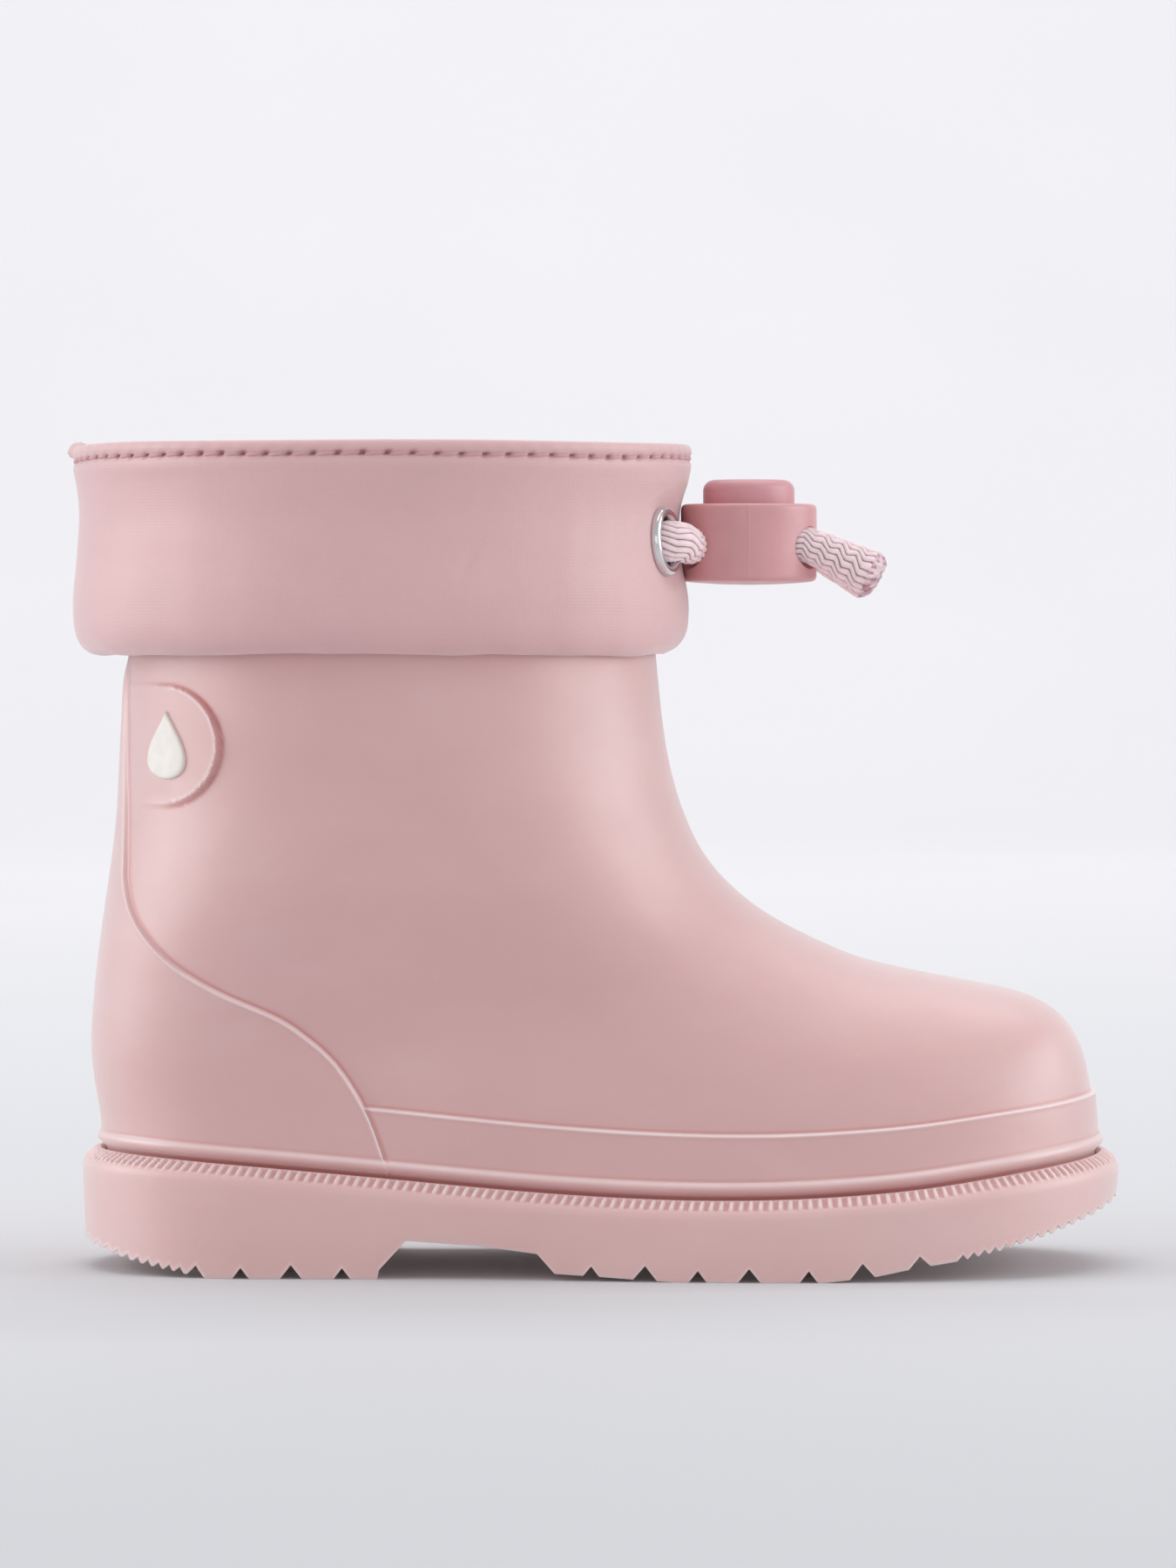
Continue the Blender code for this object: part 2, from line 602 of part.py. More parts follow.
RO, RI = EYELET_OD / 2, EYELET_ID / 2
for side, word in ((-1, "lateral"), (1, "medial")):
    p, n = eyelet_frame(side)
    hole = turned("hole_" + word, [(0.0, 4.0), (4.75, 4.0), (4.75, -4.0), (0.0, -4.0)], 24, None, facing(p, n), CUTTERS)
    hole.hide_render = True
    hole.display_type = "WIRE"
    boolean(cuff, hole, "DIFFERENCE")
    # flange with a rolled edge and a barrel through the sheet
    turned("eyelet_" + word,
           [(RI + 0.25, 1.5), (RO - 0.7, 1.55), (RO - 0.15, 1.25), (RO, 0.85), (RO - 0.1, 0.7), (RI + 0.62, 0.7),
            (RI + 0.62, -2.2), (RI, -2.2), (RI, 0.9)], 20, M_METAL, facing(p, n))
    turned("eyelet_washer_" + word,
           [(RI + 0.95, -1.95), (RO - 0.2, -1.95), (RO - 0.2, -2.4), (RI + 0.95, -2.4)], 20, M_METAL, facing(p, n))


# ---------------------------------------------------------------- threads
def tube(name, points, radius, mat, cyclic=False, resolution=2, radii=None):
    c = bpy.data.curves.new(name, "CURVE")
    c.dimensions = "3D"
    c.bevel_depth = radius * MM
    c.bevel_resolution = resolution
    c.use_fill_caps = True
    s = c.splines.new("POLY")
    s.points.add(len(points) - 1)
    for k, q in enumerate(points):
        s.points[k].co = (*to_m(q), 1)
        if radii is not None:
            s.points[k].radius = radii[k] / radius
    s.use_cyclic_u = cyclic
    c.materials.append(mat)
    o = bpy.data.objects.new(name, c)
    PARTS.objects.link(o)
    return o


ring_count = 44
tube("cuff_top_thread", [cuff_point(2 * math.pi * k / ring_count, 0, 0.46, 130.3) for k in range(ring_count)], 0.28,
     M_THREAD, True, 0)
tube("cuff_seam_thread", [cuff_point(2 * math.pi * k / ring_count, 1, 0, 104.4, 2.8) for k in range(ring_count)], 0.28,
     M_THREAD, True, 0)


# ---------------------------------------------------------------- drawcord
def smooth_path(points, spacing, values=None):
    """Points read at an even spacing from a smooth curve through points, with values carried along."""
    p = np.array([tuple(q) for q in points], float)
    s = np.concatenate([[0], np.cumsum(np.linalg.norm(np.diff(p, axis=0), axis=1))])
    at = np.linspace(0, s[-1], max(3, int(round(s[-1] / spacing)) + 1))
    xs = [spline(list(zip(s, p[:, k])))(at) for k in range(3)]
    out = np.stack(xs, axis=1)
    if values is None:
        return out
    return out, np.interp(at, s, values)


def tunnel_point(t):
    return cuff_point(t, 0.0, -5.0 + waist(t, EYELET_Z), EYELET_Z)


def strand(side):
    """The route from the tunnel out through an eyelet and the lock to the drooping end, with the cord's radius."""
    p, n = eyelet_frame(side)
    e_in = p - n * 4.3
    route = [Vector(tunnel_point(side * math.radians(30))), e_in + Vector((-1.5, side * 1.2, 0)), p - n * 1.9,
             p + n * 0.9, p + n * 3.2 + Vector((0.2, -side * 0.6, 0)),
             Vector((LOCK_X - 9.65, side * (CHANNEL_Y + 4.1), EYELET_Z)),
             Vector((LOCK_X - 8.2, side * (CHANNEL_Y + 0.85), EYELET_Z)),
             Vector((LOCK_X - 5.0, side * CHANNEL_Y, EYELET_Z + 0.9)),
             Vector((LOCK_X, side * CHANNEL_Y, EYELET_Z + 1.2)),
             Vector((LOCK_X + 5.0, side * CHANNEL_Y, EYELET_Z + 0.9)),
             Vector((LOCK_X + 8.6, side * CHANNEL_Y, EYELET_Z - 0.1)),
             Vector((LOCK_X + 11.6, side * (CHANNEL_Y + 0.1), EYELET_Z - 1.1)),
             Vector((LOCK_X + 16.0, side * (CHANNEL_Y + 0.4), EYELET_Z - 2.9)),
             Vector((LOCK_X + 21.0, side * (CHANNEL_Y + 0.7), EYELET_Z - 4.9))]
    return route, [2.1, 1.6, 1.4, 1.4, 1.4, 1.45, 1.6, 1.8, 1.7, 1.8, 2.5, 2.8, 3.0, 3.2]


lateral, lateral_size = strand(-1)
medial, medial_size = strand(1)
tunnel = [Vector(tunnel_point(-a)) for a in np.radians(np.arange(42, 319, 12))]
route = lateral[::-1] + tunnel + medial
size = lateral_size[::-1] + [2.4] * len(tunnel) + medial_size
points, radii = smooth_path(route, 3.0, size)
tube("drawcord", points, CORD_R, M_CORD, False, 2, radii)

# ---------------------------------------------------------------- cord lock
lock_place = Matrix.Translation(Vector(to_m((LOCK_X, 0, 0))))
body = turned("cord_lock_body",
              [(0.0, LOCK_LOW + LOCK_FLOOR), (BORE_R, LOCK_LOW + LOCK_FLOOR), (BORE_R, LOCK_HIGH - 0.5),
               (BORE_R + 0.5, LOCK_HIGH), (LOCK_R - 0.8, LOCK_HIGH), (LOCK_R, LOCK_HIGH - 0.8),
               (LOCK_R, LOCK_LOW + 0.9), (LOCK_R - 0.9, LOCK_LOW), (0.0, LOCK_LOW)], 48, M_LOCK, lock_place)
for side in (-1, 1):
    bm = bmesh.new()
    bmesh.ops.create_cone(bm, cap_ends=True, segments=24, radius1=CHANNEL_R * MM, radius2=CHANNEL_R * MM, depth=0.03)
    bmesh.ops.rotate(bm, verts=bm.verts, cent=(0, 0, 0), matrix=Matrix.Rotation(math.pi / 2, 3, "Y"))
    bmesh.ops.translate(bm, verts=bm.verts, vec=to_m((LOCK_X, side * CHANNEL_Y, EYELET_Z)))
    me = bpy.data.meshes.new("channel")
    bm.to_mesh(me)
    bm.free()
    boolean(body, cutter("channel_" + ("lateral" if side < 0 else "medial"), me), "DIFFERENCE")

PLUNGER_FOOT = LOCK_LOW + LOCK_FLOOR + BUTTON_TRAVEL + 0.4
SLOT_LOW, SLOT_HIGH = 115.1, 123.4
button = turned("cord_lock_button",
                [(0.0, BUTTON_TOP), (BUTTON_R - 1.3, BUTTON_TOP), (BUTTON_R - 0.4, BUTTON_TOP - 0.35),
                 (BUTTON_R, BUTTON_TOP - 1.2), (BUTTON_R, PLUNGER_FOOT), (0.0, PLUNGER_FOOT)], 40, M_LOCK, lock_place)
for side in (-1, 1):
    bm = bmesh.new()
    bmesh.ops.create_cube(bm, size=1.0)
    width = 9.0
    bmesh.ops.scale(bm, verts=bm.verts, vec=(0.03, width * MM, (SLOT_HIGH - SLOT_LOW) * MM))
    bmesh.ops.translate(bm, verts=bm.verts,
                        vec=to_m((LOCK_X, side * (CHANNEL_Y - CHANNEL_R + width / 2), (SLOT_HIGH + SLOT_LOW) / 2)))
    me = bpy.data.meshes.new("slot")
    bm.to_mesh(me)
    bm.free()
    boolean(button, cutter("slot_" + ("lateral" if side < 0 else "medial"), me), "DIFFERENCE")

# conical spring between the lock's floor and the plunger's foot
WIRE = 0.25
low, high = LOCK_LOW + LOCK_FLOOR + GAP + WIRE, PLUNGER_FOOT - GAP - WIRE
coil = []
turns, per = 2.5, 16
for k in range(int(turns * per) + 1):
    f = k / (turns * per)
    a = 2 * math.pi * turns * f
    r = 5.6 - 2.8 * f
    coil.append((LOCK_X + r * math.cos(a), r * math.sin(a), low + (high - low) * f))
tube("cord_lock_spring", coil, WIRE, M_METAL, False, 0)
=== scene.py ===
"""Looks of the child's rain boot: moulded shell and sole, coated drawstring cuff, braided cord and cord lock."""

import math

import bmesh
import bpy
import numpy as np
from mathutils import Matrix, Vector


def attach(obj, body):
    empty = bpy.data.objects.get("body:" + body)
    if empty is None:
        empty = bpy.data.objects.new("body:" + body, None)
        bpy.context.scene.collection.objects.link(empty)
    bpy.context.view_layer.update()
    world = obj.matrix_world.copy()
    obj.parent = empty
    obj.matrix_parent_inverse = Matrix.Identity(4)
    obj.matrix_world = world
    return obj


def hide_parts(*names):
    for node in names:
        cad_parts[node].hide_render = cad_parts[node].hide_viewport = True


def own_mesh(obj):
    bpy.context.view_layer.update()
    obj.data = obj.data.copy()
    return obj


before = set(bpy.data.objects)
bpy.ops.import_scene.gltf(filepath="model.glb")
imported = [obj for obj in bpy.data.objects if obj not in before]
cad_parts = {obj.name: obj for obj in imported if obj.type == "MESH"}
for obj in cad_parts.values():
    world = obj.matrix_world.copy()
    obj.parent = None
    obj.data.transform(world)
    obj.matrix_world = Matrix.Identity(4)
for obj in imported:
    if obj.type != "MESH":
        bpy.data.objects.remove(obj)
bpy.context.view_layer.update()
MM = 0.001
SHIFT_X = 0.3

# ================================================================= shape of the boot (mm), as in the CAD
CUFF_X, CUFF_A, CUFF_B = -34.6, 50.0, 41.0
SHAFT_X, SHAFT_A, SHAFT_B = -33.1, 42.3, 34.0
EYELET_Z = 116.9
EYELET_ANGLE = math.radians(19.5)
LOCK_X, LOCK_R = 24.7, 11.0
LOCK_LOW, LOCK_HIGH = 110.2, 123.1
CHANNEL_Y = 4.75
BUTTON_TOP = 127.0
BACK = [(14.0, -78.9), (19.6, -79.3), (24.0, -79.6), (29.0, -80.4), (35.0, -81.1), (41.0, -80.9), (49.4, -80.1),
        (60.7, -78.5), (72.0, -77.1), (83.3, -76.4), (99.6, -75.5), (112.0, -75.3)]
FRONT = [(80.7, 12.0), (80.9, 16.5), (80.9, 21.0), (80.6, 26.0), (79.9, 31.0), (78.4, 36.0), (75.4, 40.3),
         (70.2, 43.5), (63.0, 45.4), (55.5, 46.8), (48.6, 48.2), (42.4, 49.8), (36.0, 52.4), (30.4, 55.2),
         (25.9, 58.0), (22.2, 61.1), (19.3, 64.2), (17.0, 67.5), (15.1, 71.3), (13.3, 76.0), (11.9, 81.0),
         (10.8, 87.0), (10.0, 94.0), (9.4, 101.0), (9.0, 112.0)]
GROOVE = [(-86.0, 20.0), (-79.0, 19.9), (-66.0, 19.2), (-50.0, 17.9), (-33.0, 16.4), (-12.0, 14.6), (2.0, 13.8),
          (17.0, 13.4), (30.0, 13.6), (41.0, 14.2), (52.0, 15.2), (63.0, 16.7), (74.0, 18.2), (86.0, 19.9)]
WIDE_OUT = [(-82.0, 24.0), (-57.0, 24.5), (-40.0, 25.0), (-20.0, 26.0), (0.0, 28.7), (18.0, 31.0), (34.0, 31.8),
            (50.0, 31.1), (65.0, 29.4), (84.0, 27.5)]
WIDE_IN = [(-82.0, 24.0), (-57.0, 24.2), (-40.0, 23.8), (-20.0, 23.6), (0.0, 25.8), (18.0, 28.8), (36.0, 30.6),
           (50.0, 30.6), (65.0, 29.4), (84.0, 27.5)]
SHAFT_WIDE = [(10.0, 25.5), (25.0, 26.4), (40.0, 28.3), (55.0, 30.3), (70.0, 32.0), (85.0, 33.3), (100.0, 34.0),
              (115.0, 34.2)]
COUNTER = [(15.0, -32.4), (19.1, -33.8), (25.8, -36.3), (29.0, -38.0), (32.7, -40.4), (35.6, -42.9), (38.4, -46.2),
           (41.2, -50.4), (42.9, -54.1), (44.6, -58.1), (46.5, -61.9), (49.2, -66.4), (53.2, -70.8), (57.2, -73.6),
           (63.0, -75.2)]
TREAD = [(-92.0, 8.0), (-84.0, 5.0), (-80.0, 3.8), (-75.0, 2.4), (-70.0, 1.4), (-65.5, 0.7), (-62.5, 0.0),
         (-34.7, 0.0), (-34.6, 1.3), (-30.2, 6.1), (-18.0, 5.3), (-9.4, 4.2), (-6.6, 1.1), (1.0, 0.7), (6.5, 0.35),
         (12.0, 0.0), (36.0, 0.0), (44.0, 0.9), (50.0, 2.1), (57.5, 3.2), (64.0, 4.5), (72.0, 6.6), (80.0, 9.2),
         (92.0, 13.8)]
# (x, half width, depth, runs right across)
NOTCHES = [(-63.6, 1.5, 1.8, 0), (-56.4, 1.35, 1.75, 0), (-48.4, 1.75, 2.2, 1), (-40.3, 1.35, 1.75, 0),
           (-0.9, 1.3, 1.6, 0), (7.6, 1.9, 2.3, 1), (15.9, 1.45, 1.85, 0), (24.0, 1.8, 2.2, 1), (33.4, 1.45, 1.85, 0),
           (41.9, 2.0, 2.35, 1), (51.0, 1.8, 1.8, 0)]
TEETH_HEEL = (-83.0, -65.5, 1.75, 1.0)
TEETH_TOE = (56.9, 84.5, 1.74, 0.95)


def spline(points):
    x = np.array([p[0] for p in points], float)
    y = np.array([p[1] for p in points], float)
    n = len(x)
    h = np.diff(x)
    a = np.zeros((n, n))
    r = np.zeros(n)
    a[0, 0] = a[-1, -1] = 1.0
    for i in range(1, n - 1):
        a[i, i - 1], a[i, i], a[i, i + 1] = h[i - 1], 2 * (h[i - 1] + h[i]), h[i]
        r[i] = 6 * ((y[i + 1] - y[i]) / h[i] - (y[i] - y[i - 1]) / h[i - 1])
    m = np.linalg.solve(a, r)

    def value(q):
        q = np.asarray(q, float)
        c = np.clip(q, x[0], x[-1])
        k = np.clip(np.searchsorted(x, c) - 1, 0, n - 2)
        hk = h[k]
        s, t = (x[k + 1] - c) / hk, (c - x[k]) / hk
        return s * y[k] + t * y[k + 1] + ((s ** 3 - s) * m[k] + (t ** 3 - t) * m[k + 1]) * hk ** 2 / 6

    return value


def step(a, b, x):
    t = np.clip((np.asarray(x, float) - a) / (b - a), 0, 1)
    return t * t * (3 - 2 * t)


back_x = spline(BACK)
groove_z = spline(GROOVE)
wide_out = spline(WIDE_OUT)
wide_in = spline(WIDE_IN)
shaft_wide = spline(SHAFT_WIDE)
counter_x = spline(COUNTER)
_f = np.array(FRONT, float)
_fs = np.concatenate([[0], np.cumsum(np.linalg.norm(np.diff(_f, axis=0), axis=1))])
_fx, _fz = spline(list(zip(_fs, _f[:, 0]))), spline(list(zip(_fs, _f[:, 1])))
_t = np.linspace(0, _fs[-1], 400)
FRONT_LINE = np.stack([_fx(_t), _fz(_t)], axis=1)
_ends = [(FRONT_LINE[0] + np.array([0.0, -1.0]) * k) for k in np.arange(60.0, 0.0, -1.0)]
_tops = [(FRONT_LINE[-1] + np.array([0.0, 1.0]) * k) for k in np.arange(1.0, 60.0, 1.0)]
_line = np.concatenate([_ends, FRONT_LINE, _tops])
_mid = (_line[1:] + _line[:-1]) / 2
_len = np.linalg.norm(np.diff(_line, axis=0), axis=1)


def front_x(z):
    return np.interp(z, FRONT_LINE[:, 1], FRONT_LINE[:, 0])


def front_distance(x, z):
    r2 = (x[:, None] - _mid[None, :, 0]) ** 2 + (z[:, None] - _mid[None, :, 1]) ** 2
    near = np.sqrt(r2.min(1)) < 1.6
    r2 = np.maximum(r2, 0.04)
    out = np.maximum(2 / math.pi * (_len[None, :] / r2 ** 2).sum(1), 1e-12) ** (-1 / 3)
    if near.any():
        p = np.stack([x[near], z[near]], axis=1)[:, None]
        a, b = _line[None, :-1], _line[None, 1:]
        ab = b - a
        t = np.clip(((p - a) * ab).sum(2) / (ab ** 2).sum(2), 0, 1)
        exact = np.linalg.norm(a + ab * t[..., None] - p, axis=2).min(1)
        k = step(0.5, 1.2, exact)
        out[near] = exact * (1 - k) + out[near] * k
    return out


def rounded(q, power):
    q = np.clip(q, 0, 1)
    return np.maximum(1 - (1 - q) ** power, 0) ** (1 / power)


def half_width(x, z, side):
    x, z = np.atleast_1d(np.asarray(x, float)), np.atleast_1d(np.asarray(z, float))
    k = step(24.0, 64.0, z)
    foot = wide_out(x) if side < 0 else wide_in(x)
    wide = foot * (1 - k) + shaft_wide(z) * k
    heel_r = 25.0 + (42.3 - 25.0) * step(30.0, 88.0, z)
    toe_r = 31.0 + (42.3 - 31.0) * step(46.0, 88.0, z)
    power = 2.28 - 0.28 * step(40.0, 85.0, z)
    return wide * rounded((x - back_x(z)) / heel_r, power) * rounded(front_distance(x, z) / toe_r, power)


def middle_y(x, z):
    return 2.6 * np.clip((np.asarray(x, float) + 5) / 88, 0, 1) ** 2 * (1 - step(45.0, 75.0, z))


def band_top(x):
    """Height of the foxing band's top edge over the groove."""
    return 10.25 - 0.011 * np.clip(np.asarray(x, float) + 36, 0, 120)


def row_z(front_z, x):
    """Rows follow the groove low down, and one of them the foxing band's top edge."""
    fade = 1 - step(30.0, 54.0, front_z)
    fx = float(front_x(front_z))
    up = front_z - float(groove_z(fx))
    w = float(np.clip(up / 9.0, 0, 1)) * (1 - float(step(9.9, 22.0, up)))
    return front_z - (groove_z(fx) - groove_z(x)) * fade + (band_top(x) - band_top(fx)) * w


def panel_edge(z):
    """x of the heel panel's front edge, and its slope, at height z."""
    zz = np.clip(z, 15.0, 63.0)
    edge = np.where(z > 63, -75.2 - 0.012 * (z - 63), counter_x(zz))
    slope = np.where(z > 63, 0.0, (counter_x(np.clip(zz + 0.3, 15, 63)) - counter_x(np.clip(zz - 0.3, 15, 63))) / 0.6)
    return edge, slope


CLUSTER = np.array([-1.0, -0.62, -0.42, -0.31, -0.23, -0.16, -0.09, -0.03, 0.03, 0.09, 0.16, 0.23, 0.31, 0.42, 0.62, 1.0])


def panel_row(front_z, ahead, behind, fine=900):
    """A row whose columns gather along the heel panel's edge, so that the edge stays crisp."""
    xf = float(front_x(front_z))
    xr = float(back_x(row_z(front_z, -79.0)))
    c = (1 - np.cos(np.linspace(0, math.pi, fine))) / 2
    x = xf + (xr - xf) * c
    z = row_z(front_z, x)
    edge, slope = panel_edge(z)
    out, arcs = [], []
    for side in (-1, 1):
        y = middle_y(x, z) + side * half_width(x, z, side)
        y[0] = middle_y(x[0], z[0])
        y[-1] = middle_y(x[-1], z[-1])
        p = np.stack([x, y, z], axis=1)
        s = np.concatenate([[0], np.cumsum(np.linalg.norm(np.diff(p, axis=0), axis=1))])
        d = (edge - x) / np.sqrt(1 + slope ** 2)
        k = int(np.argmax(d > 0)) if (d > 0).any() else fine - 30
        k = min(max(k, 30), fine - 30)
        sc = float(np.interp(0.0, d[k - 2:k + 3], s[k - 2:k + 3]))
        rate = (s[k + 2] - s[k - 2]) / max(d[k + 2] - d[k - 2], 1e-6)
        rate = float(np.clip(rate, 0.8, min(6.0, (s[-1] - sc) * 0.6, sc * 0.6)))
        at = np.concatenate([np.linspace(0, sc - rate, ahead, endpoint=False), sc + CLUSTER * rate,
                             np.linspace(sc + rate, s[-1], behind + 1)[1:]])
        out.append(np.stack([np.interp(at, s, p[:, k2]) for k2 in range(3)], axis=1))
    return np.concatenate([out[0], out[1][-2:0:-1]])


def row(front_z, count, fine=700):
    xf = float(front_x(front_z))
    xr = float(back_x(row_z(front_z, -79.0)))
    c = (1 - np.cos(np.linspace(0, math.pi, fine))) / 2
    x = xf + (xr - xf) * c
    z = row_z(front_z, x)
    out = []
    for side in (-1, 1):
        y = middle_y(x, z) + side * half_width(x, z, side)
        y[0] = middle_y(x[0], z[0])
        y[-1] = middle_y(x[-1], z[-1])
        p = np.stack([x, y, z], axis=1)
        s = np.concatenate([[0], np.cumsum(np.linalg.norm(np.diff(p, axis=0), axis=1))])
        at = np.linspace(0, s[-1], count // 2 + 1)
        out.append(np.stack([np.interp(at, s, p[:, k]) for k in range(3)], axis=1))
    return np.concatenate([out[0], out[1][-2:0:-1]])


def grid_normals(grid):
    up = np.gradient(grid, axis=0)
    round_ = np.roll(grid, -1, axis=1) - np.roll(grid, 1, axis=1)
    n = np.cross(up, round_)
    n /= np.maximum(np.linalg.norm(n, axis=2, keepdims=True), 1e-9)
    return n


# ================================================================= smooth noise in numpy
_rng = np.random.default_rng(7)
_table = _rng.random((32, 32, 32))


def noise3(p, scale):
    """Smooth noise from -1 to 1 at points p (mm), with features about scale mm across."""
    q = np.asarray(p, float) / scale + 97.3
    i = np.floor(q).astype(int)
    f = q - i
    f = f * f * (3 - 2 * f)
    out = 0
    for dx in (0, 1):
        for dy in (0, 1):
            for dz in (0, 1):
                w = (f[..., 0] if dx else 1 - f[..., 0]) * (f[..., 1] if dy else 1 - f[..., 1]) * (
                    f[..., 2] if dz else 1 - f[..., 2])
                out = out + w * _table[(i[..., 0] + dx) % 32, (i[..., 1] + dy) % 32, (i[..., 2] + dz) % 32]
    return out * 2 - 1


# ================================================================= mesh helpers
def new_object(name, mesh, mat):
    o = bpy.data.objects.new(name, mesh)
    bpy.context.scene.collection.objects.link(o)
    if mat is not None:
        mesh.materials.append(mat)
    return o


def quads_mesh(name, verts, quads, mat, uv=None, smooth=True, sharp=None):
    """verts (n, 3) in mm, quads (m, 4), uv (m, 4, 2)."""
    v = np.asarray(verts, float).reshape(-1, 3).copy()
    v[:, 0] += SHIFT_X
    v *= MM
    q = np.asarray(quads, np.int32).reshape(-1, 4)
    me = bpy.data.meshes.new(name)
    me.vertices.add(len(v))
    me.vertices.foreach_set("co", v.astype(np.float32).ravel())
    me.loops.add(len(q) * 4)
    me.loops.foreach_set("vertex_index", q.ravel())
    me.polygons.add(len(q))
    me.polygons.foreach_set("loop_start", np.arange(0, len(q) * 4, 4, dtype=np.int32))
    if uv is not None:
        layer = me.uv_layers.new(name="UVMap")
        layer.data.foreach_set("uv", np.asarray(uv, np.float32).reshape(-1))
    me.update(calc_edges=True)
    me.validate(clean_customdata=False)
    if smooth:
        me.shade_smooth()
    if sharp is not None:
        me.set_sharp_from_angle(angle=math.radians(sharp))
    return new_object(name, me, mat)


def grid_quads(rows, cols, closed=True, start=0, loop_rows=False):
    i = np.arange(rows if loop_rows else rows - 1)
    j = np.arange(cols if closed else cols - 1)
    a, b = np.meshgrid(i, j, indexing="ij")
    i2, j2 = (a + 1) % rows, (b + 1) % cols
    q = np.stack([a * cols + b, a * cols + j2, i2 * cols + j2, i2 * cols + b], axis=-1).reshape(-1, 4)
    return q + start


def grid_uv(u, v, rows, cols, closed=True, loop_rows=False):
    """Loop UVs for grid_quads: u has cols(+1) values across, v has rows(+1) values, both in whatever unit."""
    i = np.arange(rows if loop_rows else rows - 1)
    j = np.arange(cols if closed else cols - 1)
    a, b = np.meshgrid(i, j, indexing="ij")
    uu = np.stack([u[b], u[b + 1], u[b + 1], u[b]], axis=-1)
    vv = np.stack([v[a], v[a], v[a + 1], v[a + 1]], axis=-1)
    return np.stack([uu, vv], axis=-1).reshape(-1, 4, 2)


def ladder_quads(cols, start, flip=False):
    """Quads that close a ring of cols points (toe at 0, heel at cols // 2)."""
    out = []
    for j in range(cols // 2):
        a, b, c, d = j, j + 1, (cols - j - 1) % cols, (cols - j) % cols
        if j == 0:
            continue
        if j == cols // 2 - 1:
            continue
        out.append((d, c, b, a) if flip else (a, b, c, d))
    return np.array(out) + start


def lathe(name, profile, steps, mat, place, smooth_angle=40):
    """A closed (radius, height) profile in mm turned about Z."""
    prof = np.array(profile, float)
    t = np.linspace(0, 2 * math.pi, steps, endpoint=False)
    p = np.stack([prof[:, 0, None] * np.cos(t), prof[:, 0, None] * np.sin(t),
                  np.repeat(prof[:, 1, None], steps, 1)], axis=-1)
    n = len(prof)
    s = np.concatenate([[0], np.cumsum(np.linalg.norm(np.diff(prof, axis=0), axis=1))])
    s = np.append(s, s[-1] + 1)
    uv = grid_uv(np.arange(steps + 1) / steps, s, n, steps, True, True)
    q = grid_quads(n, steps, True, 0, True)[:, ::-1]
    o = quads_mesh(name, p.reshape(-1, 3) - [SHIFT_X, 0, 0], q, mat, uv[:, ::-1], True, None)
    o.data.transform(place)
    o.data.update()
    bm = bmesh.new()
    bm.from_mesh(o.data)
    bmesh.ops.remove_doubles(bm, verts=bm.verts, dist=1e-7)
    bmesh.ops.recalc_face_normals(bm, faces=bm.faces)
    bm.to_mesh(o.data)
    bm.free()
    o.data.shade_smooth()
    o.data.set_sharp_from_angle(angle=math.radians(smooth_angle))
    return o


def round_corners(points, radius=0.3, n=4, closed=True):
    """A polyline whose corners are rounded by short curves."""
    p = [np.array(q, float) for q in points]
    out = []
    count = len(p)
    for k in range(count):
        if not closed and k in (0, count - 1):
            out.append(p[k])
            continue
        a, b, c = p[k - 1], p[k], p[(k + 1) % count]
        da, dc = a - b, c - b
        la, lc = np.linalg.norm(da), np.linalg.norm(dc)
        r = min(radius, la * 0.45, lc * 0.45)
        s, e = b + da / la * r, b + dc / lc * r
        for f in np.linspace(0, 1, n):
            out.append((1 - f) ** 2 * s + 2 * f * (1 - f) * b + f * f * e)
    return out


